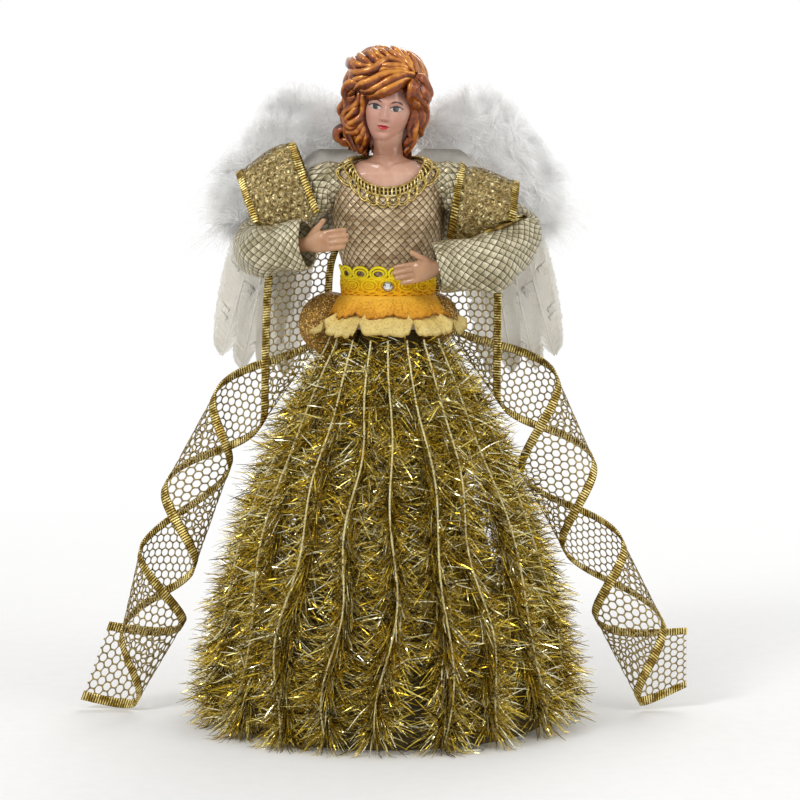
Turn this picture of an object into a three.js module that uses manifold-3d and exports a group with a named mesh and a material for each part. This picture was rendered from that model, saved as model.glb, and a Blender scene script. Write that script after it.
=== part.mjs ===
// An angel tree topper: a costumed figure on a hollow cone that slips over the top shoot of a tree, with a
// skirt of tinsel garlands, feathered wings and two wire-edged net ribbons.
// Millimetres, +Z up, the face towards -Y. The origin is the middle of the cone's mouth, level with its rim.
import * as THREE from "three";
import { mergeVertices } from "three/addons/utils/BufferGeometryUtils.js";
import Module from "manifold-3d";

const wasm = await Module();
wasm.setup();

// Clearances
const SEAT_GAP = 0.3; // between two pieces that touch
const WIRE_GAP = 0.3; // round a wire in its hole
const HINGE_GAP = 0.8; // between a wing card and the pad it folds on

// Cone
const CONE_HEIGHT = 178;
const CONE_BASE_RADIUS = 72;
const CONE_TOP_RADIUS = 13;
const CONE_WALL = 1.4;

// Skirt of tinsel garlands
const GARLAND_COUNT = 20;
const GARLAND_HEAD_ROOM = 6; // below the cone's top
const GARLAND_HEM_ROOM = 4; // above the surface that the cone stands on
const GARLAND_TOP_THICKNESS = 12;
const GARLAND_HEM_THICKNESS = 11;
const GARLAND_SWELL = 12; // added at mid length
const GARLAND_GROOVE = 4; // valley between two garlands
const GARLAND_ROWS = 15;
const TUFT_RISE = 2.4; // of a tuft above the garland's own round
const TUFT_FALL = 3.2; // of a hollow below it
const TUFT_FREE_RADIUS = 10; // cone radius gained before tufts have room to rise

// Figure: heights above the torso's foot, half widths and half depths
const HIP_HALF_WIDTH = 17;
const HIP_HALF_DEPTH = 14;
const WAIST_RISE = 22;
const WAIST_HALF_WIDTH = 18.5;
const WAIST_HALF_DEPTH = 14;
const CHEST_RISE = 50;
const CHEST_HALF_WIDTH = 24;
const CHEST_HALF_DEPTH = 16.5;
const SHOULDER_RISE = 69;
const SHOULDER_HALF_WIDTH = 25;
const SHOULDER_HALF_DEPTH = 12;
const NECK_RISE = 78;
const NECK_RADIUS = 6.8;
const NECK_LENGTH = 4.7; // from the neck's foot to the chin
const TORSO_HEIGHT = 56;
const SPIGOT_LENGTH = 10; // of the torso inside the cone

// Head and hair
const HEAD_HEIGHT = 33;
const HEAD_HALF_WIDTH = 11;
const HEAD_HALF_DEPTH = 13;
const HEAD_TILT = 8; // degrees, the crown to the figure's left
const NOSE_LENGTH = 2.2;
const HAIR_TOP = 10.5; // above the crown
const HAIR_SIDE = 7; // beside and behind the head
const HAIR_SHIFT = 1.5; // of the whole mass to the figure's right
const HAIR_FULLNESS = 3.2; // how square its crown is
const HAIRLINE = 6; // above the eyes
const FACE_HALF_WIDTH = 9.4; // of the opening
const LOCK_RADIUS = 3.6;

// Costume
const BODICE_THICKNESS = 1;
const BODICE_HEM_RISE = 8;
const NECKLINE_HALF_WIDTH = 16.5;
const NECKLINE_DROP = 16.3; // below the neck's foot, in front
const NECKLINE_REACH = 15; // front to back, from its middle
const NECKLINE_FORWARD = 6; // its middle, in front of the neck
const TRIM_WIDTH = 6;
const TRIM_THICKNESS = 1.2;
const TRIM_LOOPS = 20;
const BELT_RISE = 16.2;
const BELT_HEIGHT = 11;
const BELT_THICKNESS = 1.2;
const BELT_LOOPS = 14;
const BELT_LOOP_HEIGHT = 2.6;
const GEM_RADIUS = 3;
const GEM_HEIGHT = 2.2;
const GEM_RISE = 4; // above the belt's lower edge
const PETAL_THICKNESS = 0.9;
const PETAL_COUNT = 9;
const PETAL_RIPPLE = 1.2;
const PETAL_SCALLOP = 2; // height of a petal's rounded end
const UPPER_PETAL_DROP = 9.5;
const UPPER_PETAL_FLARE = 7;
const LOWER_PETAL_START = 6; // below the upper layer's top
const LOWER_PETAL_DROP = 12.5;
const LOWER_PETAL_FLARE = 15.5;
const PETAL_BACK_SHARE = 0.35; // of the flare, behind the figure

// Arms: points of the wire from the shoulder, as outward, forward and upward distances
const ARM_RISE = 64.5;
const WIRE_RADIUS = 1;
const WIRE_ROOT = 12; // inside the torso's side
const WIRE_TIP = 5; // into the hand
const SLEEVE_RADIUS = 9.2;
const CUFF_HALF_HEIGHT = 10.5;
const CUFF_HALF_DEPTH = 8;
const CUFF_WALL = 1.2;
const CUFF_DEPTH = 10;
const SLEEVE_FOLD = 0.5;
const ELBOW = { left: [33, -3, -26], right: [33, 3, -21] };
const FOREARM = { left: [27, 20, -28], right: [18, 20, -31] };
const WRIST = { left: [9, 29, -25], right: [-5, 23, -36] };
const PUFF_HALF_HEIGHT = 16.5;
const PUFF_HALF_DEPTH = 11;
const PUFF_END_HALF_HEIGHT = 12.5; // at the elbow
const PUFF_LIFT = { left: 9.5, right: -2 }; // of the puff's middle above the arm
const PUFF_END_LIFT = { left: 16, right: 6 }; // at the elbow
const PUFF_LEAN = { left: 20, right: 8 }; // degrees, its top away from the head
const PUFF_START = { left: 8, right: 3.5 }; // along the upper arm
const PUFF_THICKNESS = 1;
const HAND_PALM_LENGTH = 10;
const HAND_HALF_WIDTH = 4.8;
const HAND_HALF_THICKNESS = 2.5;
const WRIST_RADIUS = 3.2;
const WRIST_LENGTH = 6; // of the hand's stem inside the cuff
const FINGER_LENGTH = 9;
const FINGER_RADIUS = 1.3;

// Wings
const WING_PAD_HALF_WIDTH = 4;
const WING_RIB_HALF_WIDTH = 1.5;
const WING_PAD_RISE = 32;
const WING_PAD_HEIGHT = 38;
const WING_CARD_THICKNESS = 1.2;
const WING_CARD_SPAN = 58;
const WING_CARD_ARCH = 20; // of the card's top above the pad
const FEATHER_COUNT = 4;
const FEATHER_LENGTH = 82;
const FEATHER_STEP = 2.5; // each feather shorter than the one inside it
const FEATHER_HALF_WIDTH = 7.2;
const FEATHER_THICKNESS = 0.8;
const FEATHER_FAN = 3; // degrees between neighbours
const FLUFF_HALF_SPAN = 37;
const FLUFF_HALF_HEIGHT = 33;
const FLUFF_HALF_DEPTH = 8;
const FLUFF_RISE = 73;
const FLUFF_LUMP = 0.06;

// Ribbons: each row is a crease, as its middle (outward, back, up) and its reach from the upper wired edge
// to the lower one in ribbon widths; flat bands run from crease to crease, behind and in front by turns.
const RIBBON_WIDTH = 31.75;
const RIBBON_THICKNESS = 0.8;
const RIBBON_EDGE = 4; // width of a wired edge
const RIBBON_ROOT_OUT = 18;
const RIBBON_ROOT_RISE = 71;
const RIBBON_CREASES = {
  left: [
    [[41, 18.2, 207], [1, -0.02, -0.06]],
    [[42, 12.5, 154], [1.01, -0.28, -1.45]],
    [[91.6, 13, 127.4], [0.81, 0, -1.47]],
    [[79.9, 12, 88.7], [0.55, 0, -1.56]],
    [[119, 12, 57.9], [0.25, 0, -1.23]],
    [[104, 12, 22.5], [0.76, 0, -1.26]],
    [[135.5, 12, 22.5], [0.43, 0, -1.15]],
  ],
  right: [
    [[36, 18.2, 212], [1, -0.02, -0.06]],
    [[35.5, 12.5, 162.5], [0.98, -0.28, -1.35]],
    [[86.7, 13, 137], [0.58, 0, -1.34]],
    [[69.5, 12, 92], [0.67, 0, -1.2]],
    [[117.9, 12, 61.7], [0.64, 0, -1.28]],
    [[104.5, 12, 23.5], [0.71, 0, -1.34]],
    [[137.9, 12, 24], [0, 0, -0.88]],
  ],
};
const HANG_BOW = 2; // how far the hang comes forward between its creases
const CURL_DEPTH = 4.5; // how far a band stands behind or in front of its creases
const CREASE_ROUND = 0.3; // share of a band's run that goes on round its creases
const BAND_STEPS = 24;
const BAND_SOFTNESS = 20; // passes that round the edges at the creases
const NET_STEPS = 32;
const NET_ROWS = 4;
const NET_THREAD = 1.1;

const TAU = 2 * Math.PI;
const SIDES = { left: -1, right: 1 };
const { lerp, smoothstep, degToRad } = THREE.MathUtils;
const vec = (x, y, z) => new THREE.Vector3(x, y, z);

// Solids

function signedVolume(points, faces) {
  let six = 0;
  for (const [a, b, c] of faces) {
    six += points[a].dot(points[b].clone().cross(points[c]));
  }
  return six / 6;
}

function solidOf({ points, faces }) {
  const out = signedVolume(points, faces) < 0 ? faces.map(([a, b, c]) => [a, c, b]) : faces;
  const vertProperties = new Float32Array(points.flatMap((p) => [p.x, p.y, p.z]));
  const triVerts = new Uint32Array(out.flat());
  return new wasm.Manifold(new wasm.Mesh({ numProp: 3, vertProperties, triVerts }));
}

function solidOfGeometry(geometry) {
  geometry.deleteAttribute("normal");
  geometry.deleteAttribute("uv");
  const merged = mergeVertices(geometry, 1e-4);
  const at = merged.getAttribute("position");
  const points = Array.from({ length: at.count }, (_, i) => vec(at.getX(i), at.getY(i), at.getZ(i)));
  const faces = [];
  for (let i = 0; i < merged.index.count; i += 3) {
    const [a, b, c] = [0, 1, 2].map((k) => merged.index.getX(i + k));
    if (a !== b && b !== c && c !== a) {
      faces.push([a, b, c]);
    }
  }
  return solidOf({ points, faces });
}

// Skin through rings of points; a loop joins its last ring to its first, otherwise both ends are capped.
function skin(rings, loop = false) {
  const n = rings[0].length;
  const points = rings.flat().map((p) => p.clone());
  const faces = [];
  const spans = loop ? rings.length : rings.length - 1;
  for (let i = 0; i < spans; i += 1) {
    const a = i * n;
    const b = ((i + 1) % rings.length) * n;
    for (let k = 0; k < n; k += 1) {
      const l = (k + 1) % n;
      faces.push([a + k, a + l, b + l], [a + k, b + l, b + k]);
    }
  }
  if (!loop) {
    const last = (rings.length - 1) * n;
    for (const [start, flip] of [[0, true], [last, false]]) {
      const middle = points.length;
      const sum = vec(0, 0, 0);
      for (let k = 0; k < n; k += 1) {
        sum.add(points[start + k]);
      }
      points.push(sum.divideScalar(n));
      for (let k = 0; k < n; k += 1) {
        const l = (k + 1) % n;
        faces.push(flip ? [start + l, start + k, middle] : [start + k, start + l, middle]);
      }
    }
  }
  return { points, faces };
}

function ellipseRing(centre, across, up, halfAcross, halfUp, count) {
  return Array.from({ length: count }, (_, k) => {
    const angle = (TAU * k) / count;
    return centre
      .clone()
      .addScaledVector(across, halfAcross * Math.cos(angle))
      .addScaledVector(up, halfUp * Math.sin(angle));
  });
}

// Round rod through points, each with its radius; the two ends are flat.
function rod(points, radii, sides) {
  const last = points.length - 1;
  const start = points[1].clone().sub(points[0]).normalize();
  const across = Math.abs(start.y) < 0.9 ? vec(0, 1, 0) : vec(0, 0, 1);
  const rings = points.map((p, i) => {
    const along = points[Math.min(i + 1, last)].clone().sub(points[Math.max(i - 1, 0)]).normalize();
    across.addScaledVector(along, -across.dot(along)).normalize();
    return ellipseRing(p, across, along.clone().cross(across), radii[i], radii[i], sides);
  });
  return solidOf(skin(rings));
}

function box(low, high) {
  const geometry = new THREE.BoxGeometry(high.x - low.x, high.y - low.y, high.z - low.z);
  geometry.translate((low.x + high.x) / 2, (low.y + high.y) / 2, (low.z + high.z) / 2);
  return solidOfGeometry(geometry);
}

function placed(solid, matrix) {
  return solid.transform(matrix.elements);
}

// Cone and skirt

const coneRadius = (z) => lerp(CONE_BASE_RADIUS, CONE_TOP_RADIUS, z / CONE_HEIGHT);
const CONE_SIDES = 2 * GARLAND_COUNT;

function makeCone() {
  const slope = Math.hypot(CONE_BASE_RADIUS - CONE_TOP_RADIUS, CONE_HEIGHT) / CONE_HEIGHT;
  const wall = CONE_WALL * slope;
  const profile = [
    [CONE_BASE_RADIUS - wall, 0],
    [CONE_BASE_RADIUS, 0],
    [CONE_TOP_RADIUS, CONE_HEIGHT],
    [CONE_TOP_RADIUS - wall, CONE_HEIGHT],
  ];
  const rings = Array.from({ length: CONE_SIDES }, (_, i) => {
    const angle = (TAU * i) / CONE_SIDES;
    return profile.map(([r, z]) => vec(r * Math.cos(angle), r * Math.sin(angle), z));
  });
  return { solid: solidOf(skin(rings, true)), boreAtTop: CONE_TOP_RADIUS - wall };
}

// One fall of garland over two sides of the cone, with tufts and hollows by turns over its outer faces.
function makeGarland(index) {
  const top = CONE_HEIGHT - GARLAND_HEAD_ROOM;
  const middle = (TAU * index) / GARLAND_COUNT;
  const step = Math.PI / GARLAND_COUNT;
  const tuftTop = coneRadiusHeight(CONE_TOP_RADIUS + TUFT_FREE_RADIUS);
  const rings = [];
  for (let i = 0; i < GARLAND_ROWS; i += 1) {
    const t = i / (GARLAND_ROWS - 1);
    const z = lerp(GARLAND_HEM_ROOM, top, t);
    const inner = coneRadius(z) + SEAT_GAP;
    const swell = GARLAND_SWELL * Math.sin(Math.PI * t);
    const outer = inner + lerp(GARLAND_HEM_THICKNESS, GARLAND_TOP_THICKNESS, t) + swell;
    const side = outer - Math.min(GARLAND_GROOVE, 0.3 * (outer - inner));
    const half = (r) => step - Math.asin((0.5 * SEAT_GAP) / r);
    const polar = (r, a) => vec(r * Math.cos(middle + a), r * Math.sin(middle + a), z);
    const rise = z < tuftTop ? TUFT_RISE : 0;
    const fall = Math.min(TUFT_FALL, 0.3 * (side - inner));
    const tuft = (r, k) => ((i + k) % 2 === 0 ? r + rise : r - fall);
    const chord = outer * Math.cos(step / 2) + 1;
    rings.push([
      polar(inner, -half(inner)),
      polar(inner, 0),
      polar(inner, half(inner)),
      polar(tuft(side, 1), half(tuft(side, 1))),
      polar(tuft(chord, 0), half(outer) / 2),
      polar(tuft(outer, 1), 0),
      polar(tuft(chord, 0), -half(outer) / 2),
      polar(tuft(side, 1), -half(tuft(side, 1))),
    ]);
  }
  return solidOf(skin(rings));
}

function coneRadiusHeight(radius) {
  return (CONE_HEIGHT * (CONE_BASE_RADIUS - radius)) / (CONE_BASE_RADIUS - CONE_TOP_RADIUS);
}

// Figure

const torsoFoot = CONE_HEIGHT + SEAT_GAP;
const stations = [
  [0, HIP_HALF_WIDTH, HIP_HALF_DEPTH],
  [WAIST_RISE, WAIST_HALF_WIDTH, WAIST_HALF_DEPTH],
  [CHEST_RISE, CHEST_HALF_WIDTH, CHEST_HALF_DEPTH],
  [SHOULDER_RISE, SHOULDER_HALF_WIDTH, SHOULDER_HALF_DEPTH],
  [NECK_RISE, NECK_RADIUS, NECK_RADIUS],
];

function figureAt(rise) {
  let i = 0;
  while (i < stations.length - 2 && rise > stations[i + 1][0]) {
    i += 1;
  }
  const t = smoothstep(rise, stations[i][0], stations[i + 1][0]);
  const width = lerp(stations[i][1], stations[i + 1][1], t);
  const depth = lerp(stations[i][2], stations[i + 1][2], t);
  return { width, depth };
}

// A point of the figure's outline at a height and a plan angle, moved outward by an offset.
function bodyPoint(rise, angle, offset) {
  const here = figureAt(rise);
  const slope = (figureAt(rise + 0.5).width - figureAt(rise - 0.5).width) / 1;
  const out = offset / Math.hypot(1, slope);
  return vec(
    (here.width + out) * Math.cos(angle),
    (here.depth + out) * Math.sin(angle),
    torsoFoot + rise - slope * out,
  );
}

function bodyRing(rise, offset, count) {
  return Array.from({ length: count }, (_, k) => bodyPoint(rise, (TAU * k) / count, offset));
}

// Heights that every piece fitted to the figure shares, so that their faces lie alike.
function risesBetween(low, high) {
  const shared = [];
  for (let i = 0; i + 1 < stations.length; i += 1) {
    for (let k = 0; k < 3; k += 1) {
      shared.push(lerp(stations[i][0], stations[i + 1][0], k / 3));
    }
  }
  return [low, ...shared.filter((rise) => rise > low + 0.4 && rise < high - 0.4), high];
}

function bodySkin(low, high, offset) {
  return solidOf(skin(risesBetween(low, high).map((rise) => bodyRing(rise, offset, BODY_SIDES))));
}

const BODY_SIDES = 20;
const bodiceInner = SEAT_GAP;
const bodiceOuter = SEAT_GAP + BODICE_THICKNESS;

function greatestOver(low, high, key) {
  let most = 0;
  for (let i = 0; i <= 40; i += 1) {
    most = Math.max(most, figureAt(lerp(low, high, i / 40))[key]);
  }
  return most;
}

const bodiceBack = greatestOver(0, NECK_RISE, "depth") + bodiceOuter;
const shoulderX = greatestOver(0, NECK_RISE, "width") + bodiceOuter + SEAT_GAP;
const shoulderZ = torsoFoot + ARM_RISE;

function wireHole(side) {
  const from = vec(side * (WIRE_ROOT - WIRE_GAP), 0, shoulderZ);
  const to = vec(side * (shoulderX + 5), 0, shoulderZ);
  return rod([from, to], [WIRE_RADIUS + WIRE_GAP, WIRE_RADIUS + WIRE_GAP], 10);
}

const bothWireHoles = wireHole(-1).add(wireHole(1));

function makeTorso(boreAtTop) {
  const body = bodySkin(0, TORSO_HEIGHT, 0);
  const spigotRadius = (boreAtTop - SEAT_GAP) * Math.cos(Math.PI / CONE_SIDES);
  const spigot = rod(
    [vec(0, 0, CONE_HEIGHT - SPIGOT_LENGTH), vec(0, 0, torsoFoot + 1)],
    [spigotRadius, spigotRadius],
    24,
  );
  return body.add(spigot).subtract(bothWireHoles);
}

const headMiddle = NECK_RISE + NECK_LENGTH + HEAD_HEIGHT / 2;
const headFrame = new THREE.Matrix4()
  .makeTranslation(0, 0, torsoFoot + headMiddle)
  .multiply(new THREE.Matrix4().makeRotationY(degToRad(HEAD_TILT)));

// Head in its own frame: an egg that narrows to the chin; growth is the same all round.
function egg(growSide, growTop, growFoot) {
  const rows = 10;
  const sides = 16;
  const rings = [];
  for (let i = 0; i < rows; i += 1) {
    const polar = lerp(0.12, Math.PI - 0.12, i / (rows - 1));
    const up = -Math.cos(polar);
    const jaw = lerp(0.74, 1, smoothstep(up, -1, 0.15));
    const round = Math.sin(polar);
    const half = HEAD_HEIGHT / 2 + (up > 0 ? growTop : growFoot);
    rings.push(
      ellipseRing(
        vec(0, 0, up * half),
        vec(1, 0, 0),
        vec(0, 1, 0),
        (HEAD_HALF_WIDTH + growSide) * round * jaw,
        (HEAD_HALF_DEPTH + growSide) * round * jaw,
        sides,
      ),
    );
  }
  return solidOf(skin(rings));
}

function makeBust(grow) {
  const low = TORSO_HEIGHT + SEAT_GAP - grow;
  const plate = bodySkin(low, NECK_RISE, grow);
  const neckFoot = torsoFoot + NECK_RISE - 1;
  const neckTop = torsoFoot + headMiddle;
  const neckRadii = [NECK_RADIUS + grow, NECK_RADIUS - 0.8 + grow];
  const neck = rod([vec(0, 0, neckFoot), vec(0, 0, neckTop)], neckRadii, 20);
  const nose = rod(
    [vec(0, -0.7 * HEAD_HALF_DEPTH, 1), vec(0, -HEAD_HALF_DEPTH - NOSE_LENGTH + 1.4, -5)],
    [0.8 + grow, 1.4 + grow],
    8,
  );
  const head = placed(egg(grow, grow, grow).add(nose), headFrame);
  return plate.add(neck).add(head).subtract(bothWireHoles);
}

// Hair: a full cap open over the face, with locks over it that end in curls.
function makeHair() {
  const crown = HEAD_HEIGHT / 2;
  const side = HEAD_HALF_WIDTH + HAIR_SIDE;
  const front = HEAD_HALF_DEPTH + 0.4 * HAIR_SIDE;
  const height = crown + HAIR_TOP;
  const rows = 9;
  const rings = Array.from({ length: rows }, (_, i) => {
    const level = lerp(-0.45, 0.985, i / (rows - 1));
    const share = Math.pow(1 - Math.pow(Math.abs(level), HAIR_FULLNESS), 1 / HAIR_FULLNESS);
    const middle = vec(-HAIR_SHIFT, 0.1 * front, level * height);
    return ellipseRing(middle, vec(1, 0, 0), vec(0, 1, 0), side * share, front * share, 20);
  });
  const opening = [-2, -0.25].map((reach) => {
    const middle = vec(-0.1 * FACE_HALF_WIDTH, reach * HEAD_HALF_DEPTH, HAIRLINE - crown);
    return ellipseRing(middle, vec(1, 0, 0), vec(0, 0, 1), FACE_HALF_WIDTH, crown, 20);
  });
  const locks = [
    [[-0.86, -0.52, 0.5], [-1.06, -0.4, -0.02], [-1.0, -0.3, -0.3], [-1.24, -0.3, -0.56]],
    [[-0.95, 0.05, 0.3], [-1.02, 0, -0.2], [-0.86, -0.28, -0.55], [-0.62, -0.38, -0.78]],
    [[0.62, -0.55, 0.55], [0.86, -0.5, 0.1], [0.84, -0.32, -0.3], [0.62, -0.38, -0.72]],
    [[0.8, 0.1, 0.35], [0.9, 0.05, -0.1], [0.82, 0, -0.5], [0.6, 0, -0.8]],
    [[-0.35, 0.95, 0.35], [-0.45, 1.12, -0.1], [-0.4, 1.02, -0.45], [-0.3, 0.8, -0.76]],
    [[0.25, 0.95, 0.35], [0.35, 1.12, -0.1], [0.32, 1.02, -0.45], [0.25, 0.8, -0.76]],
  ];
  let hair = solidOf(skin(rings)).subtract(solidOf(skin(opening)));
  for (const lock of locks) {
    const stops = lock.map(([x, y, z]) => vec(x * side - HAIR_SHIFT, y * front, z * height));
    const curve = new THREE.CatmullRomCurve3(stops);
    const points = curve.getSpacedPoints(5);
    const radii = points.map((_, i) => LOCK_RADIUS * (0.55 + 0.45 * Math.sin(Math.PI * (0.15 + 0.14 * i))));
    hair = hair.add(rod(points, radii, 5));
  }
  return placed(hair, headFrame).subtract(makeBust(SEAT_GAP));
}

// Costume

const necklineMiddle = vec(0, -NECKLINE_FORWARD, torsoFoot + NECK_RISE);

function necklineLevel(p, widen) {
  const q = p.clone().sub(necklineMiddle);
  return Math.hypot(
    q.x / (NECKLINE_HALF_WIDTH + widen),
    q.y / (NECKLINE_REACH + widen),
    q.z / (NECKLINE_DROP + widen),
  );
}

// Where the figure's outline at an angle meets the neckline widened by a distance.
function necklinePoint(angle, offset, widen) {
  let low = WAIST_RISE;
  let high = NECK_RISE;
  for (let i = 0; i < 40; i += 1) {
    const rise = (low + high) / 2;
    if (necklineLevel(bodyPoint(rise, angle, offset), widen) > 1) {
      low = rise;
    } else {
      high = rise;
    }
  }
  return bodyPoint(high, angle, offset);
}

function makeBodice() {
  const outer = bodySkin(BODICE_HEM_RISE, NECK_RISE, bodiceOuter);
  const inner = bodySkin(BODICE_HEM_RISE - 1, NECK_RISE, bodiceInner);
  const opening = new THREE.SphereGeometry(1, 24, 14);
  opening.scale(NECKLINE_HALF_WIDTH, NECKLINE_REACH, NECKLINE_DROP);
  opening.translate(necklineMiddle.x, necklineMiddle.y, necklineMiddle.z);
  return outer.subtract(inner).subtract(solidOfGeometry(opening)).subtract(bothWireHoles);
}

function makeCollarTrim() {
  const steps = 2 * TRIM_LOOPS;
  const low = bodiceOuter + SEAT_GAP;
  const high = low + TRIM_THICKNESS;
  const rings = Array.from({ length: steps }, (_, i) => {
    const angle = (TAU * i) / steps;
    const loop = lerp(0.7, 1, Math.abs(Math.sin((angle * TRIM_LOOPS) / 2)));
    const width = TRIM_WIDTH * loop;
    return [
      necklinePoint(angle, low, 0.2),
      necklinePoint(angle, high, 0.2),
      necklinePoint(angle, high, width),
      necklinePoint(angle, low, width),
    ];
  });
  return solidOf(skin(rings, true)).subtract(bodySkin(BODICE_HEM_RISE, NECK_RISE, low));
}

const beltInner = bodiceOuter + SEAT_GAP;
const beltOuter = beltInner + BELT_THICKNESS;

function makeBelt() {
  const steps = 2 * BELT_LOOPS;
  const rings = Array.from({ length: steps }, (_, i) => {
    const angle = (TAU * i) / steps;
    const top = BELT_RISE + BELT_HEIGHT + (i % 2) * BELT_LOOP_HEIGHT;
    return [
      bodyPoint(BELT_RISE, angle, beltInner),
      bodyPoint(top, angle, beltInner),
      bodyPoint(top, angle, beltOuter),
      bodyPoint(BELT_RISE, angle, beltOuter),
    ];
  });
  return solidOf(skin(rings, true));
}

function makeGem() {
  const profile = [
    [0, 0],
    [GEM_RADIUS, 0],
    [GEM_RADIUS, 0.3 * GEM_HEIGHT],
    [0.6 * GEM_RADIUS, GEM_HEIGHT],
    [0, GEM_HEIGHT],
  ];
  const gem = new THREE.LatheGeometry(profile.map(([r, y]) => new THREE.Vector2(r, y)), 10);
  gem.rotateX(Math.PI);
  const front = bodyPoint(BELT_RISE + GEM_RISE, -Math.PI / 2, beltOuter + SEAT_GAP);
  gem.translate(front.x, front.y, front.z);
  return solidOfGeometry(gem);
}

// A ring of petals that starts on the bodice and flares out to a rippled, scalloped edge.
function makePetals(startRise, drop, flare) {
  const steps = 4 * PETAL_COUNT;
  const levels = 3;
  const rings = Array.from({ length: steps }, (_, i) => {
    const angle = (TAU * i) / steps;
    const petal = Math.abs(Math.sin((angle * PETAL_COUNT) / 2));
    const back = smoothstep(Math.sin(angle), 0.1, 0.9);
    const reach = flare * lerp(1, PETAL_BACK_SHARE, back) + PETAL_RIPPLE * (petal - 0.5);
    const fall = drop + PETAL_SCALLOP * (petal - 1);
    const foot = bodyPoint(startRise, angle, bodiceOuter + SEAT_GAP + PETAL_THICKNESS);
    const out = vec(Math.cos(angle), Math.sin(angle), 0);
    const droop = (t) => vec(0, 0, -fall * Math.pow(t, 1.2));
    const face = (t) => foot.clone().addScaledVector(out, reach * Math.pow(t, 0.9)).add(droop(t));
    const upper = Array.from({ length: levels }, (_, k) => face(k / (levels - 1)));
    const under = upper.map((p) => p.clone().add(vec(0, 0, -PETAL_THICKNESS)));
    return [...upper, ...under.reverse()];
  });
  return solidOf(skin(rings, true));
}

// Arms

const ARM_SIDES = 12;

function armPath(name) {
  const side = SIDES[name];
  const root = vec(side * shoulderX, 0, shoulderZ);
  const at = ([out, forward, up]) => root.clone().add(vec(side * out, -forward, up));
  const lead = root.clone().lerp(at(ELBOW[name]), 0.5);
  const curve = new THREE.CatmullRomCurve3([root, lead, at(ELBOW[name]), at(FOREARM[name]), at(WRIST[name])]);
  const steps = 12;
  const points = curve.getSpacedPoints(steps);
  const end = points[steps].clone().sub(points[steps - 1]).normalize();
  return { name, side, root, elbow: at(ELBOW[name]), points, end, wrist: points[steps] };
}

function makeWire(arm, grow, extra) {
  const inside = vec(arm.side * (WIRE_ROOT - extra), 0, shoulderZ);
  const tip = arm.wrist.clone().addScaledVector(arm.end, WIRE_TIP + extra);
  const points = [inside, ...arm.points, tip];
  return rod(points, points.map(() => WIRE_RADIUS + grow), 6);
}

// Rings across the arm: upright ellipses that widen into the cuff; the first lies flat on the shoulder.
function armRings(arm, from, to, grow, count) {
  const rings = [];
  const last = arm.points.length - 1;
  for (let i = from; i <= to; i += 1) {
    const t = i / last;
    const p = arm.points[i];
    const along = arm.points[Math.min(i + 1, last)].clone().sub(arm.points[Math.max(i - 1, 0)]).normalize();
    if (i === 0) {
      along.set(arm.side, 0, 0);
    }
    const across = vec(0, 0, 1).cross(along).normalize();
    const up = along.clone().cross(across).normalize();
    const wide = smoothstep(t, 0.45, 1);
    const fold = SLEEVE_FOLD * Math.sin(9 * t * Math.PI);
    const high = lerp(SLEEVE_RADIUS, CUFF_HALF_HEIGHT, wide) + fold + grow;
    const deep = lerp(SLEEVE_RADIUS, CUFF_HALF_DEPTH, wide) + 0.5 * fold + grow;
    rings.push(ellipseRing(p, across, up, deep, high, count));
  }
  return rings;
}

function makeSleeve(arm) {
  const last = arm.points.length - 1;
  const outside = solidOf(skin(armRings(arm, 0, last, 0, ARM_SIDES)));
  const length = arm.points[last].distanceTo(arm.points[last - 1]);
  const back = Math.max(1, Math.round(CUFF_DEPTH / length));
  const hollow = armRings(arm, last - back, last, -CUFF_WALL, ARM_SIDES);
  hollow.push(hollow[hollow.length - 1].map((p) => p.clone().addScaledVector(arm.end, 2)));
  return outside.subtract(solidOf(skin(hollow))).subtract(makeWire(arm, WIRE_GAP, WIRE_GAP));
}

// Puff: a band of ribbon looped loosely round the upper arm and standing up above it.
function makePuff(arm) {
  const along = arm.elbow.clone().sub(arm.root).normalize();
  const lean = degToRad(PUFF_LEAN[arm.name]);
  const up = vec(arm.side * Math.sin(lean), 0, Math.cos(lean));
  const deep = vec(0, 1, 0);
  const count = 18;
  const first = PUFF_START[arm.name];
  const band = (grow, start, end) => {
    const rows = 4;
    return Array.from({ length: rows }, (_, i) => {
      const s = lerp(start, end, i / (rows - 1));
      const t = (s - first) / RIBBON_WIDTH;
      const high = lerp(PUFF_HALF_HEIGHT, PUFF_END_HALF_HEIGHT, t);
      const lift = lerp(PUFF_LIFT[arm.name], PUFF_END_LIFT[arm.name], t);
      const middle = arm.root.clone().addScaledVector(along, s).addScaledVector(up, lift);
      return ellipseRing(middle, deep, up, PUFF_HALF_DEPTH + grow, high + grow, count);
    });
  };
  const outside = solidOf(skin(band(0, first, first + RIBBON_WIDTH)));
  const inside = solidOf(skin(band(-PUFF_THICKNESS, first - 1, first + RIBBON_WIDTH + 1)));
  const sleeveRoom = solidOf(skin(armRings(arm, 0, arm.points.length - 1, SEAT_GAP, ARM_SIDES)));
  const shoulderRoom = box(vec(-shoulderX, -60, 0), vec(shoulderX, 60, shoulderZ + 80));
  return outside.subtract(inside).subtract(sleeveRoom).subtract(shoulderRoom);
}

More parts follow.
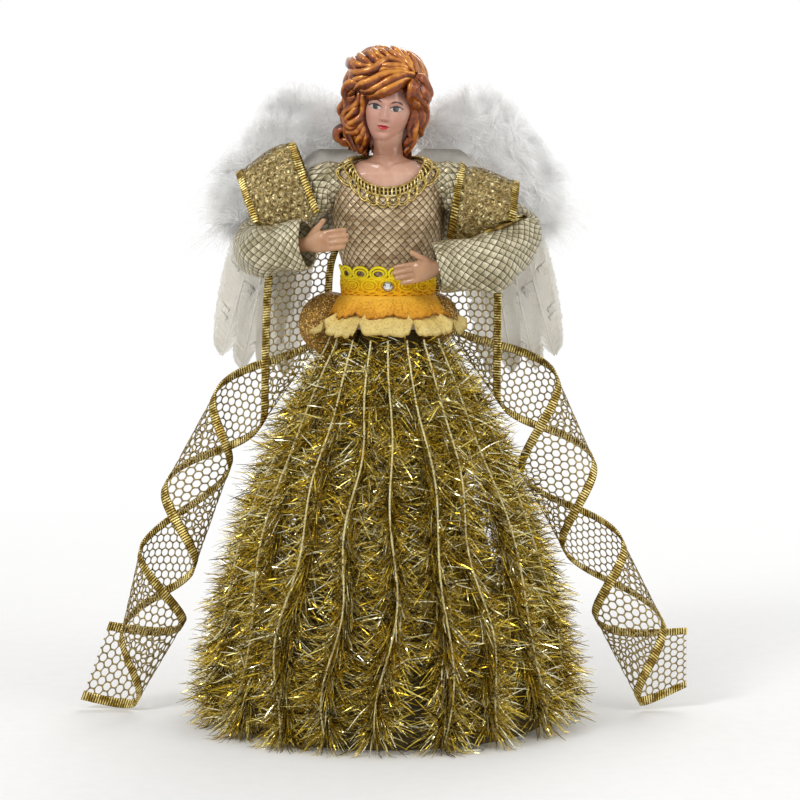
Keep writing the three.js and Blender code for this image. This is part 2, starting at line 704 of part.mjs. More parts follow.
// Hand in its own frame: fingers along +X, thumb up, the back of the hand towards -Y.
function makeHand(arm) {
  const palm = solidOf(
    skin(
      [
        [-WRIST_LENGTH, WRIST_RADIUS, WRIST_RADIUS],
        [0, WRIST_RADIUS, WRIST_RADIUS * 0.85],
        [0.4 * HAND_PALM_LENGTH, HAND_HALF_WIDTH * 0.95, HAND_HALF_THICKNESS],
        [0.85 * HAND_PALM_LENGTH, HAND_HALF_WIDTH, HAND_HALF_THICKNESS],
        [HAND_PALM_LENGTH, 0.85 * HAND_HALF_WIDTH, 0.6 * HAND_HALF_THICKNESS],
      ].map(([x, high, deep]) => ellipseRing(vec(x, 0, 0), vec(0, 1, 0), vec(0, 0, 1), deep, high, 12)),
    ),
  );
  let hand = palm;
  for (let i = 0; i < 4; i += 1) {
    const z = lerp(0.72, -0.72, i / 3) * HAND_HALF_WIDTH;
    const length = FINGER_LENGTH * [0.92, 1, 0.95, 0.75][i];
    const x = 0.8 * HAND_PALM_LENGTH;
    const points = [vec(x, 0, z), vec(x + 0.6 * length, 0.3, 1.05 * z), vec(x + 1.2 * length, 1.4, 1.02 * z)];
    hand = hand.add(rod(points, [FINGER_RADIUS, FINGER_RADIUS, 0.7 * FINGER_RADIUS], 6));
  }
  const thumbFoot = vec(0.25 * HAND_PALM_LENGTH, 0, 0.6 * HAND_HALF_WIDTH);
  const thumbTip = vec(0.95 * HAND_PALM_LENGTH, -0.5, HAND_HALF_WIDTH + 4);
  hand = hand.add(rod([thumbFoot, thumbTip], [1.15 * FINGER_RADIUS, 0.85 * FINGER_RADIUS], 6));
  const bore = rod(
    [vec(-WRIST_LENGTH - 1, 0, 0), vec(WIRE_TIP + WIRE_GAP, 0, 0)],
    [WIRE_RADIUS + WIRE_GAP, WIRE_RADIUS + WIRE_GAP],
    8,
  );
  const along = arm.end.clone();
  const deep = vec(0, 0, 1).cross(along).normalize();
  if (deep.y < 0) {
    deep.negate();
  }
  const up = vec(0, 0, 1).addScaledVector(along, -along.z).normalize();
  const frame = new THREE.Matrix4().makeBasis(along, deep, up).setPosition(arm.wrist);
  return placed(hand.subtract(bore), frame);
}

// Wings, drawn on the figure's left or right by a sign; the pad lies behind the ribbon roots.

const padFront = bodiceBack + SEAT_GAP + RIBBON_THICKNESS + SEAT_GAP;
const padFoot = torsoFoot + WING_PAD_RISE;
const hingeX = WING_PAD_HALF_WIDTH + HINGE_GAP / 2;

// Pad: a strip with a rib between the ribbon roots, which seats it on the bodice.
function makePad() {
  const back = padFront + WING_CARD_THICKNESS;
  const top = padFoot + WING_PAD_HEIGHT;
  const strip = box(vec(-WING_PAD_HALF_WIDTH, padFront, padFoot), vec(WING_PAD_HALF_WIDTH, back, top));
  const ribFoot = vec(-WING_RIB_HALF_WIDTH, bodiceBack + SEAT_GAP, padFoot);
  const rib = box(ribFoot, vec(WING_RIB_HALF_WIDTH, back, top));
  return strip.add(rib);
}

// An outline in the plane of the wing, given as outward and upward points, made into a plate.
function plate(outline, front, thickness, side) {
  const shape = new THREE.Shape(outline.map(([out, up]) => new THREE.Vector2(side * out, up)));
  const geometry = new THREE.ExtrudeGeometry(shape, { depth: thickness, bevelEnabled: false });
  geometry.rotateX(Math.PI / 2);
  geometry.translate(0, front + thickness, 0);
  return solidOfGeometry(geometry);
}

function makeWingCard(side, grow) {
  const inner = WING_PAD_HALF_WIDTH + HINGE_GAP - grow;
  const tip = WING_PAD_HALF_WIDTH + HINGE_GAP + WING_CARD_SPAN + grow;
  const low = padFoot - grow;
  const high = padFoot + WING_PAD_HEIGHT + grow;
  const outline = [
    [inner, low],
    [lerp(inner, tip, 0.6), low + 6],
    [lerp(inner, tip, 0.92), low + 20],
    [tip, high],
    [lerp(inner, tip, 0.8), high + 0.8 * WING_CARD_ARCH],
    [lerp(inner, tip, 0.45), high + WING_CARD_ARCH],
    [lerp(inner, tip, 0.15), high + 0.4 * WING_CARD_ARCH],
    [inner, high],
  ];
  return plate(outline, padFront - grow, WING_CARD_THICKNESS + 2 * grow, side);
}

function makeFeather(side, index, grow) {
  const length = FEATHER_LENGTH - FEATHER_STEP * index;
  const half = FEATHER_HALF_WIDTH + grow;
  const front = padFront + WING_CARD_THICKNESS + SEAT_GAP + index * (FEATHER_THICKNESS + SEAT_GAP) - grow;
  const turn = degToRad(FEATHER_FAN * (index + 0.8));
  const footOut = WING_PAD_HALF_WIDTH + lerp(0.62, 1.02, index / FEATHER_COUNT) * WING_CARD_SPAN;
  const foot = [footOut, padFoot + 0.75 * WING_PAD_HEIGHT];
  const leaf = [];
  const steps = 8;
  for (let i = 0; i <= 2 * steps; i += 1) {
    const t = i <= steps ? i / steps : (2 * steps - i) / steps;
    const swell = Math.pow(Math.sin(Math.PI * lerp(0.06, 0.97, t)), 0.6);
    const across = (i <= steps ? 1 : -1) * half * swell;
    const down = t * (length + 2 * grow) - grow;
    leaf.push([
      foot[0] + across * Math.cos(turn) + down * Math.sin(turn),
      foot[1] + across * Math.sin(turn) - down * Math.cos(turn),
    ]);
  }
  return plate(leaf, front, FEATHER_THICKNESS + 2 * grow, side);
}

function makeFluff(side, room) {
  const rows = 9;
  const sides = 12;
  const depth = FLUFF_HALF_DEPTH;
  const reach = WING_PAD_HALF_WIDTH + 4 + FLUFF_HALF_SPAN;
  const middle = vec(side * reach, padFront + depth, torsoFoot + FLUFF_RISE);
  const rings = [];
  for (let i = 0; i < rows; i += 1) {
    const polar = lerp(0.15, Math.PI - 0.15, i / (rows - 1));
    const ring = [];
    for (let k = 0; k < sides; k += 1) {
      const angle = (TAU * k) / sides;
      const lump = 1 + FLUFF_LUMP * Math.sin(5 * angle + 2 * i) * Math.sin(polar) - FLUFF_LUMP;
      ring.push(
        vec(
          middle.x + FLUFF_HALF_SPAN * lump * Math.sin(polar) * Math.cos(angle),
          middle.y + depth * Math.sin(polar) * Math.sin(angle),
          middle.z - FLUFF_HALF_HEIGHT * lump * Math.cos(polar),
        ),
      );
    }
    rings.push(ring);
  }
  return room.reduce((left, piece) => left.subtract(piece), solidOf(skin(rings)));
}

// Ribbons: flat at the back, then folded over and over into a flattened curl that leads outward.

const ribbonPlane = bodiceBack + SEAT_GAP + RIBBON_THICKNESS / 2;

// Pairs of points on the upper and lower wired edges, from the root to the free end.
function ribbonRulings(name) {
  const root = [[RIBBON_ROOT_OUT, ribbonPlane, torsoFoot + RIBBON_ROOT_RISE], [1, 0, 0]];
  const creases = [root, ...RIBBON_CREASES[name]].map(([middle, reach]) => {
    const half = vec(...reach).multiplyScalar(RIBBON_WIDTH / 2);
    return [vec(...middle).sub(half), vec(...middle).add(half)];
  });
  const last = creases.length - 2;
  let rulings = [];
  for (let i = 0; i <= last; i += 1) {
    const behind = i % 2 === 0 ? CURL_DEPTH : -CURL_DEPTH;
    const steps = i === last ? BAND_STEPS + 1 : BAND_STEPS;
    for (let k = 0; k < steps; k += 1) {
      const u = k / BAND_STEPS;
      let go = lerp((1 - Math.cos(Math.PI * u)) / 2, u, CREASE_ROUND);
      let bow = behind * Math.sin(Math.PI * u);
      if (i === 0) {
        go = u;
        bow = 0;
      } else if (i === 1) {
        go = Math.sin((Math.PI * u) / 2);
        bow = -HANG_BOW * Math.sin(Math.PI * u);
      } else if (i === last) {
        go = lerp(1 - Math.cos((Math.PI * u) / 2), u, CREASE_ROUND);
        bow = behind * Math.sin((Math.PI * u) / 2);
      }
      const stand = vec(0, bow, 0);
      rulings.push([0, 1].map((edge) => creases[i][edge].clone().lerp(creases[i + 1][edge], go).add(stand)));
    }
  }
  for (let pass = 0; pass < BAND_SOFTNESS; pass += 1) {
    rulings = rulings.map((pair, k) => {
      if (k === 0 || k === rulings.length - 1) {
        return pair;
      }
      const between = (edge) => rulings[k - 1][edge].clone().lerp(rulings[k + 1][edge], 0.5);
      return pair.map((p, edge) => between(edge).lerp(p, 0.5));
    });
  }
  return rulings.map((pair) => pair.map((p) => vec(SIDES[name] * p.x, p.y, p.z)));
}

// Places on a ribbon by the length along it and the distance from its middle line.
function ribbonSheet(name) {
  const rulings = ribbonRulings(name);
  const last = rulings.length - 1;
  const rows = new Map();
  const row = (v) => {
    if (!rows.has(v)) {
      const line = rulings.map(([upper, lower]) => upper.clone().lerp(lower, v / RIBBON_WIDTH + 0.5));
      const lengths = [0];
      for (let i = 1; i <= last; i += 1) {
        lengths.push(lengths[i - 1] + line[i].distanceTo(line[i - 1]));
      }
      rows.set(v, { line, lengths });
    }
    return rows.get(v);
  };
  const length = row(0).lengths[last];
  const spot = (s, v) => {
    const { line, lengths } = row(v);
    const want = THREE.MathUtils.clamp(s / length, 0, 1) * lengths[last];
    let i = 0;
    while (i < last - 1 && lengths[i + 1] < want) {
      i += 1;
    }
    const share = (want - lengths[i]) / (lengths[i + 1] - lengths[i]);
    const slope = (k) => line[Math.min(k + 1, last)].clone().sub(line[Math.max(k - 1, 0)]);
    const along = slope(i).lerp(slope(i + 1), share);
    const across = rulings[i][1].clone().sub(rulings[i][0]);
    return { at: line[i].clone().lerp(line[i + 1], share), normal: across.cross(along).normalize() };
  };
  return { length, spot };
}

// A strip of netting: threads cross from one wired edge to the other and meet at knots between four gaps.
function makeRibbon(name) {
  const { length, spot } = ribbonSheet(name);
  const inside = RIBBON_WIDTH / 2 - RIBBON_EDGE;
  const pitch = length / NET_STEPS;
  const knot = NET_THREAD * 0.75;
  const points = [];
  const layer = new Map();
  const add = (key, s, v) => {
    if (layer.has(key)) {
      return layer.get(key);
    }
    const { at, normal } = spot(s, v);
    const index = points.length;
    points.push(at.clone().addScaledVector(normal, RIBBON_THICKNESS / 2));
    points.push(at.clone().addScaledVector(normal, -RIBBON_THICKNESS / 2));
    layer.set(key, index);
    return index;
  };
  const flat = [];
  const quad = (a, b, c, d) => flat.push([a, b, c], [a, c, d]);
  const rowAt = (j) => lerp(-inside, inside, j / NET_ROWS);
  const corner = (i, j, place) => {
    const s = i * pitch;
    if (place === "left" || place === "right") {
      const reach = j === 0 || j === NET_ROWS ? 1.6 * knot : knot;
      return add(`${i},${j},${place}`, s + (place === "left" ? -reach : reach), rowAt(j));
    }
    return add(`${i},${j},${place}`, s, rowAt(j) + (place === "low" ? -knot : knot));
  };
  for (let i = 0; i <= NET_STEPS; i += 1) {
    for (let j = 0; j <= NET_ROWS; j += 1) {
      if ((i + j) % 2 === 1) {
        continue;
      }
      const [left, right] = [corner(i, j, "left"), corner(i, j, "right")];
      const low = j === 0 ? null : corner(i, j, "low");
      const high = j === NET_ROWS ? null : corner(i, j, "high");
      if (low !== null && high !== null) {
        quad(left, low, right, high);
      } else if (low !== null) {
        flat.push([left, low, right]);
      } else {
        flat.push([left, right, high]);
      }
      if (i < NET_STEPS && j < NET_ROWS) {
        const nextLow = corner(i + 1, j + 1, "low");
        quad(right, nextLow, corner(i + 1, j + 1, "left"), high);
      }
      if (i < NET_STEPS && j > 0) {
        const nextHigh = corner(i + 1, j - 1, "high");
        quad(right, low, corner(i + 1, j - 1, "left"), nextHigh);
        flat.splice(-2, 2, [low, corner(i + 1, j - 1, "left"), nextHigh], [low, nextHigh, right]);
      }
    }
  }
  for (const [j, outer] of [[0, -RIBBON_WIDTH / 2], [NET_ROWS, RIBBON_WIDTH / 2]]) {
    const stops = [];
    for (let i = 0; i <= NET_STEPS; i += 1) {
      if ((i + j) % 2 === 0) {
        stops.push([i * pitch - 1.6 * knot, corner(i, j, "left")]);
        stops.push([i * pitch + 1.6 * knot, corner(i, j, "right")]);
      }
    }
    for (let k = 0; k + 1 < stops.length; k += 1) {
      const a = add(`edge,${j},${k}`, stops[k][0], outer);
      const b = add(`edge,${j},${k + 1}`, stops[k + 1][0], outer);
      if (j === 0) {
        quad(a, b, stops[k + 1][1], stops[k][1]);
      } else {
        quad(stops[k][1], stops[k + 1][1], b, a);
      }
    }
  }
  const open = new Map();
  for (const [a, b, c] of flat) {
    for (const [p, q] of [[a, b], [b, c], [c, a]]) {
      if (!open.delete(`${q},${p}`)) {
        open.set(`${p},${q}`, [p, q]);
      }
    }
  }
  const faces = [];
  for (const [a, b, c] of flat) {
    faces.push([a, b, c], [a + 1, c + 1, b + 1]);
  }
  for (const [p, q] of open.values()) {
    faces.push([q, p, p + 1], [q, p + 1, q + 1]);
  }
  return solidOf({ points, faces });
}

// Assembly

const group = new THREE.Group();
group.name = "angel_tree_topper";

function place(name, solid, colour, roughness = 0.7, metalness = 0) {
  const { vertProperties, triVerts, numProp } = solid.getMesh();
  const geometry = new THREE.BufferGeometry();
  const positions = new Float32Array((vertProperties.length / numProp) * 3);
  for (let i = 0; i < positions.length / 3; i += 1) {
    for (let k = 0; k < 3; k += 1) {
      positions[3 * i + k] = vertProperties[numProp * i + k];
    }
  }
  geometry.setAttribute("position", new THREE.BufferAttribute(positions, 3));
  geometry.setIndex(new THREE.BufferAttribute(new Uint32Array(triVerts), 1));
  geometry.computeVertexNormals();
  const material = new THREE.MeshStandardMaterial({ color: colour, roughness, metalness });
  const mesh = new THREE.Mesh(geometry, material);
  mesh.name = name;
  group.add(mesh);
}

const cone = makeCone();
place("tree_cone", cone.solid, 0xb9a26a);
place("torso_core", makeTorso(cone.boreAtTop), 0xd8cfc0);
place("bust_head", makeBust(0), 0xe0b8a0, 0.4);
place("hair", makeHair(), 0xb0601e, 0.35);
place("bodice", makeBodice(), 0xc9bea0);
place("collar_trim", makeCollarTrim(), 0xc9a74a, 0.4, 0.6);
place("lace_belt", makeBelt(), 0xf2cf1e);
place("belt_gem", makeGem(), 0xe8f0f4, 0.05);
const upperStart = BELT_RISE - SEAT_GAP;
place("petals_upper", makePetals(upperStart, UPPER_PETAL_DROP, UPPER_PETAL_FLARE), 0xe3ac35);
const lowerStart = upperStart - LOWER_PETAL_START;
place("petals_lower", makePetals(lowerStart, LOWER_PETAL_DROP, LOWER_PETAL_FLARE), 0xe9ce7a);
for (let i = 0; i < GARLAND_COUNT; i += 1) {
  place(`garland_${String(i + 1).padStart(2, "0")}`, makeGarland(i), 0xa58a1e, 0.35, 0.7);
}

place("wing_pad", makePad(), 0xf4f2ee);
const joints = {};
for (const [name, side] of Object.entries(SIDES)) {
  const arm = armPath(name);
  place(`arm_wire_${name}`, makeWire(arm, 0, 0), 0x8c8c8c, 0.4, 0.9);
  place(`sleeve_${name}`, makeSleeve(arm), 0xc8c6ac);
  place(`puff_${name}`, makePuff(arm), 0xa88a45);
  place(`hand_${name}`, makeHand(arm), 0xe8a585, 0.45);
  place(`wing_card_${name}`, makeWingCard(side, 0), 0xf4f2ee);
  const room = [makeWingCard(side, SEAT_GAP)];
  for (let i = 0; i < FEATHER_COUNT; i += 1) {
    place(`feather_${name}_${i + 1}`, makeFeather(side, i, 0), 0xfafafa);
    room.push(makeFeather(side, i, SEAT_GAP));
  }
  place(`fluff_${name}`, makeFluff(side, room), 0xffffff, 0.9);
  place(`ribbon_${name}`, makeRibbon(name), 0xa8913a, 0.45, 0.4);
  joints[name] = {
    shoulder: arm.root.toArray(),
    wrist: arm.wrist.toArray(),
    wristAxis: arm.end.toArray(),
    wing: [side * hingeX, padFront + WING_CARD_THICKNESS / 2, padFoot + WING_PAD_HEIGHT / 2],
    ribbon: [side * RIBBON_ROOT_OUT, ribbonPlane, torsoFoot + RIBBON_ROOT_RISE - 4],
  };
}
group.userData.joints = joints;

export default group;
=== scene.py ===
"""Looks of an angel tree topper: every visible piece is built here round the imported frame.

Lengths in this script are millimetres until mesh_object turns them into metres.
"""
import math

import bpy
import numpy as np
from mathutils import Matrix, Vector


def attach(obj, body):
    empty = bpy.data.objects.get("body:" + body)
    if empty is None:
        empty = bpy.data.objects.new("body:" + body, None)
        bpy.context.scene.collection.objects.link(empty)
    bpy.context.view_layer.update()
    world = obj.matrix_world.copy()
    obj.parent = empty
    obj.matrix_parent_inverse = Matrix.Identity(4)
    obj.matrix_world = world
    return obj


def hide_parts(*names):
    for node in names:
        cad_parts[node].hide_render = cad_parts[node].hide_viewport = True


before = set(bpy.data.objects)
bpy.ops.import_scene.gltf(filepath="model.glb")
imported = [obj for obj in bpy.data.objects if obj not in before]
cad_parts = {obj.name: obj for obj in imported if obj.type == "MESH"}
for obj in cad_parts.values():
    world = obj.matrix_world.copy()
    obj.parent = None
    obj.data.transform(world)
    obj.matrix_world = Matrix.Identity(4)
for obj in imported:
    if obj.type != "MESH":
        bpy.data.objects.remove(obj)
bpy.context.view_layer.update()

MM = 0.001
TAU = 2 * math.pi
SIDES = {"left": -1, "right": 1}
UP = np.array([0.0, 0.0, 1.0])


# Numbers and curves.

def smooth(t):
    t = np.clip(t, 0, 1)
    return t * t * (3 - 2 * t)


def mix(a, b, t):
    return a + (b - a) * t


def unit(v):
    v = np.asarray(v, float)
    return v / np.maximum(np.linalg.norm(v, axis=-1, keepdims=True), 1e-12)


def vec(*values):
    return np.array(values, float)


def rgb(code):
    """A colour written as in a picture, made linear."""
    parts = [int(code[i:i + 2], 16) / 255 for i in (1, 3, 5)]
    return np.array([c / 12.92 if c < 0.04045 else ((c + 0.055) / 1.055) ** 2.4 for c in parts])


def rgba(code):
    return (*rgb(code), 1.0)


def spline(points, fine=48):
    """Centripetal Catmull-Rom curve through points."""
    points = np.asarray(points, float)
    padded = np.vstack([2 * points[0] - points[1], points, 2 * points[-1] - points[-2]])
    s = np.linspace(0, 1, fine, endpoint=False)[:, None]
    out = []
    for a, b, c, d in zip(padded, padded[1:], padded[2:], padded[3:]):
        ab, bc, cd = (math.sqrt(max(np.linalg.norm(q - p), 1e-9)) for p, q in ((a, b), (b, c), (c, d)))
        m1 = ((b - a) / ab - (c - a) / (ab + bc) + (c - b) / bc) * bc
        m2 = ((c - b) / bc - (d - b) / (bc + cd) + (d - c) / cd) * bc
        out.append(b + m1 * s + (-3 * b + 3 * c - 2 * m1 - m2) * s ** 2 + (2 * b - 2 * c + m1 + m2) * s ** 3)
    return np.vstack(out + [points[-1:]])


def run_lengths(line):
    return np.concatenate([[0], np.cumsum(np.linalg.norm(np.diff(line, axis=0), axis=1))])


def at_lengths(line, values, where):
    """Rows of values at the given lengths along a line."""
    lengths = run_lengths(line)
    return np.stack([np.interp(where, lengths, values[:, k]) for k in range(values.shape[1])], axis=1)


def spaced(points, count):
    line = spline(points)
    return at_lengths(line, line, np.linspace(0, run_lengths(line)[-1], count + 1))


def tangents(line):
    """Directions along lines; the points run along the last axis but one."""
    return unit(np.gradient(line, axis=-2))


# Meshes.

def mesh_object(name, points, faces, tint=None, values=None, uv=None, flat=False):
    """Mesh from points in millimetres and one array of faces, or a list of arrays of different face sizes."""
    groups = [np.asarray(g, int) for g in (faces if isinstance(faces, list) else [faces]) if len(g)]
    loops = np.concatenate([g.ravel() for g in groups])
    sizes = np.concatenate([np.full(len(g), g.shape[1]) for g in groups])
    points = np.asarray(points, float).reshape(-1, 3)
    mesh = bpy.data.meshes.new(name)
    mesh.vertices.add(len(points))
    mesh.vertices.foreach_set("co", (points * MM).ravel())
    mesh.loops.add(len(loops))
    mesh.loops.foreach_set("vertex_index", loops)
    mesh.polygons.add(len(sizes))
    mesh.polygons.foreach_set("loop_start", np.concatenate([[0], np.cumsum(sizes)[:-1]]))
    mesh.polygons.foreach_set("use_smooth", np.full(len(sizes), not flat))
    if tint is not None:
        paint(mesh, tint)
    for key, value in (values or {}).items():
        layer = mesh.attributes.new(key, "FLOAT", "POINT")
        layer.data.foreach_set("value", np.asarray(value, float).ravel())
    if uv is not None:
        layer = mesh.uv_layers.new(name="UVMap")
        layer.data.foreach_set("uv", np.asarray(uv, float).reshape(-1, 2)[loops].ravel())
    mesh.update(calc_edges=True)
    mesh.validate()
    made = bpy.data.objects.new(name + "_form", mesh)
    bpy.context.collection.objects.link(made)
    return made


def paint(mesh, tint):
    tint = np.asarray(tint, float).reshape(-1, 3)
    layer = mesh.attributes.new("Tint", "FLOAT_COLOR", "POINT")
    layer.data.foreach_set("color", np.hstack([tint, np.ones((len(tint), 1))]).ravel())


def grid_faces(rows, columns, loop=False):
    """Quads over points in rows; with loop, the last column joins the first."""
    r = np.arange(rows - 1)[:, None] * columns
    c = np.arange(columns if loop else columns - 1)[None, :]
    d = (c + 1) % columns
    return np.stack([r + c, r + d, r + columns + d, r + columns + c], -1).reshape(-1, 4)


def thicken(faces, count):
    """Two layers of a sheet's faces, joined along its free edges; the second's points come after count."""
    following = np.roll(faces, -1, axis=1)
    edges = np.concatenate([np.stack([faces[:, k], following[:, k]], 1) for k in range(faces.shape[1])])
    key = np.sort(edges, axis=1)
    _, place, uses = np.unique(key[:, 0] * count + key[:, 1], return_index=True, return_counts=True)
    free = edges[place[uses == 1]]
    rim = np.stack([free[:, 1], free[:, 0], free[:, 0] + count, free[:, 1] + count], 1)
    return [faces, faces[:, ::-1] + count, rim]


def two_layers(outer, inner, loop=False):
    """Points and faces of a sheet from the grids of points on its two sides."""
    rows, columns = outer.shape[:2]
    points = np.vstack([outer.reshape(-1, 3), inner.reshape(-1, 3)])
    return points, thicken(grid_faces(rows, columns, loop), rows * columns)


def globe(lat, turn):
    """Directions from the middle of a ball, in rows by height and columns by turn."""
    flat = np.cos(lat)[:, None]
    high = np.broadcast_to(np.sin(lat)[:, None], (len(lat), len(turn)))
    return np.stack([flat * np.cos(turn), flat * np.sin(turn), high], -1)


def joined(parts):
    """One set of points and faces from several; faces are lists of arrays."""
    points, faces, base = [], [], 0
    for p, f in parts:
        p = np.asarray(p, float).reshape(-1, 3)
        points.append(p)
        faces += [np.asarray(g, int) + base for g in (f if isinstance(f, list) else [f]) if len(g)]
        base += len(p)
    return np.vstack(points), faces


def tubes(lines, radii, sides=6, squash=1.0, first=None, flutes=(0, 0.0)):
    """Closed tubes along lines of equal count, round or squashed, with grooves if flutes are given."""
    lines = np.asarray(lines, float)
    if lines.ndim == 2:
        lines = lines[None]
    many, steps, _ = lines.shape
    radii = np.broadcast_to(np.asarray(radii, float), (many, steps))
    along = tangents(lines)
    if first is None:
        first = np.where(np.abs(along[:, 0, 2:3]) < 0.8, UP, vec(1, 0, 0))
    across = np.broadcast_to(np.asarray(first, float), (many, 3)).copy()
    frames = np.empty((many, steps, 2, 3))
    for i in range(steps):
        across = unit(across - np.sum(across * along[:, i], -1, keepdims=True) * along[:, i])
        frames[:, i, 0] = across
        frames[:, i, 1] = np.cross(along[:, i], across)
    angle = TAU * np.arange(sides) / sides
    groove = 1 + flutes[1] * np.cos(flutes[0] * angle)
    first_way, second_way = frames[:, :, 0][:, :, None], frames[:, :, 1][:, :, None]
    ring = first_way * np.cos(angle)[:, None] + second_way * (squash * np.sin(angle))[:, None]
    points = lines[:, :, None] + ring * radii[:, :, None, None] * groove[:, None]
    side_faces = grid_faces(steps, sides, loop=True)
    size = steps * sides
    base = (np.arange(many) * size)[:, None, None]
    walls = (side_faces[None] + base).reshape(-1, 4)
    start = np.arange(sides)[::-1][None] + base[:, :, 0]
    end = (np.arange(sides) + size - sides)[None] + base[:, :, 0]
    return points.reshape(-1, 3), [walls, np.vstack([start, end])]


def strips(lines, across, widths):
    """Flat strips along many lines: one layer of film, width tapering as given."""
    lines = np.asarray(lines, float)
    many, steps, _ = lines.shape
    half = across * (0.5 * np.broadcast_to(widths, (many, steps)))[..., None]
    points = np.stack([lines - half, lines + half], axis=2)
    faces = (grid_faces(steps, 2)[None] + (np.arange(many) * steps * 2)[:, None, None]).reshape(-1, 4)
    return points.reshape(-1, 3), faces


# Materials.

class Look:
    """A node material put together step by step; each call gives back a socket."""

    def __init__(self, name, **fixed):
        self.material = bpy.data.materials.new(name)
        self.material.use_nodes = True
        self.tree = self.material.node_tree
        self.main = self.tree.nodes["Principled BSDF"]
        self.coords = self.tree.nodes.new("ShaderNodeTexCoord").outputs["Object"]
        for key, value in fixed.items():
            self.main.inputs[key.replace("_", " ")].default_value = value

    def put(self, socket, value):
        if isinstance(value, bpy.types.NodeSocket):
            self.tree.links.new(value, socket)
        else:
            socket.default_value = value

    def node(self, kind, inputs, out=0, **settings):
        made = self.tree.nodes.new("ShaderNode" + kind)
        for key, value in settings.items():
            setattr(made, key, value)
        for key, value in inputs.items():
            self.put(made.inputs[key], value)
        return made.outputs[out]

    def noise(self, size, detail=3):
        """Noise whose features are about this many millimetres across."""
        return self.node("TexNoise", {"Vector": self.coords, "Scale": 1 / (size * MM),
                                      "Detail": detail, "Roughness": 0.6}, "Fac")

    def cells(self, size, out="Distance"):
        return self.node("TexVoronoi", {"Vector": self.coords, "Scale": 1 / (size * MM)}, out)

    def parts(self, value, kind="SeparateXYZ"):
        made = self.tree.nodes.new("ShaderNode" + kind)
        self.put(made.inputs[0], value)
        return made.outputs

    def uv(self):
        return self.node("UVMap", {}, "UV", uv_map="UVMap")

    def attribute(self, name, out="Fac"):
        return self.node("Attribute", {}, out, attribute_name=name)

    def math(self, kind, a, b=0.0, clamp=False):
        return self.node("Math", {0: a, 1: b}, operation=kind, use_clamp=clamp)

    def span(self, value, low, high, to_low=0.0, to_high=1.0):
        return self.node("MapRange", {"Value": value, "From Min": low, "From Max": high,
                                      "To Min": to_low, "To Max": to_high})

    def ramp(self, value, stops):
        made = self.tree.nodes.new("ShaderNodeValToRGB")
        elements = made.color_ramp.elements
        while len(elements) < len(stops):
            elements.new(0.5)
        for element, (place, colour) in zip(elements, stops):
            element.position = place
            element.color = rgba(colour)
        self.put(made.inputs["Fac"], value)
        return made.outputs["Color"]

    def blend(self, fac, a, b, kind="MIX"):
        made = self.tree.nodes.new("ShaderNodeMix")
        made.data_type = "RGBA"
        made.blend_type = kind
        for index, value in ((0, fac), (6, a), (7, b)):
            self.put(made.inputs[index], rgba(value) if isinstance(value, str) else value)
        return made.outputs[2]

    def bump(self, height, millimetres):
        return self.node("Bump", {"Height": height, "Distance": millimetres * MM, "Strength": 1.0})

    def wear(self, **sockets):
        for key, value in sockets.items():
            self.put(self.main.inputs[key.replace("_", " ")], value)
        return self.material


def dress(piece, material):
    piece.data.materials.clear()
    piece.data.materials.append(material)
    return piece


def settle(piece, material, body, slot, *nodes):
    """Give a finished piece its material and body, and hide the nodes that it stands for; slot is not used.
    """
    dress(piece, material)
    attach(piece, body)
    if nodes:
        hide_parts(*nodes)
    return piece


# Stage, camera and light.

FLOOR_RINGS, FLOOR_SIDES, FLOOR_DROP = (40, 200, 800, 3000, 12000), 96, 0.0002
FLOOR_FADE = (0.20, 0.75)
ROOM_COLOUR, ROOM_STRENGTH = (1.0, 0.99, 0.97, 1), 0.58
WHITE = (1, 1, 1, 1)


def seen_directly(nodes, links):
    """One for rays from the camera and for mirrored or passed rays, else zero."""
    path = nodes.new("ShaderNodeLightPath")
    seen = path.outputs["Is Camera Ray"]
    for kind in ("Is Glossy Ray", "Is Transmission Ray"):
        most = nodes.new("ShaderNodeMath")
        most.operation = "MAXIMUM"
        links.new(seen, most.inputs[0])
        links.new(path.outputs[kind], most.inputs[1])
        seen = most.outputs[0]
    return seen


def chosen(nodes, links, share, first, second):
    """A mix of two shaders."""
    both = nodes.new("ShaderNodeMixShader")
    for index, socket in enumerate((share, first, second)):
        links.new(socket, both.inputs[index])
    return both.outputs[0]


def make_floor():
    look = Look("floor_white", Roughness=0.9)
    nodes, links = look.tree.nodes, look.tree.links
    far = look.node("VectorMath", {0: look.coords}, "Value", operation="LENGTH")
    fade = look.span(far, *FLOOR_FADE)
    look.wear(Base_Color=look.ramp(look.noise(8), [(0.3, "#F6F6F6"), (0.7, "#F9F9F9")]))
    glow = look.node("Emission", {"Color": WHITE})
    share = look.math("MULTIPLY", fade, seen_directly(nodes, links))
    surface = chosen(nodes, links, share, look.main.outputs[0], glow)
    links.new(surface, nodes["Material Output"].inputs["Surface"])
    turn = TAU * np.arange(FLOOR_SIDES) / FLOOR_SIDES
    rings = [np.stack([r * np.cos(turn), r * np.sin(turn), 0 * turn], 1) for r in FLOOR_RINGS]
    points = np.vstack([vec(0, 0, 0)[None]] + rings)
    step = np.arange(FLOOR_SIDES)
    fan = np.stack([0 * step, 1 + step, 1 + (step + 1) % FLOOR_SIDES], 1)
    floor = mesh_object("floor", points, [fan, grid_faces(len(FLOOR_RINGS), FLOOR_SIDES, loop=True) + 1])
    floor.location.z = -FLOOR_DROP
    dress(floor, look.material)


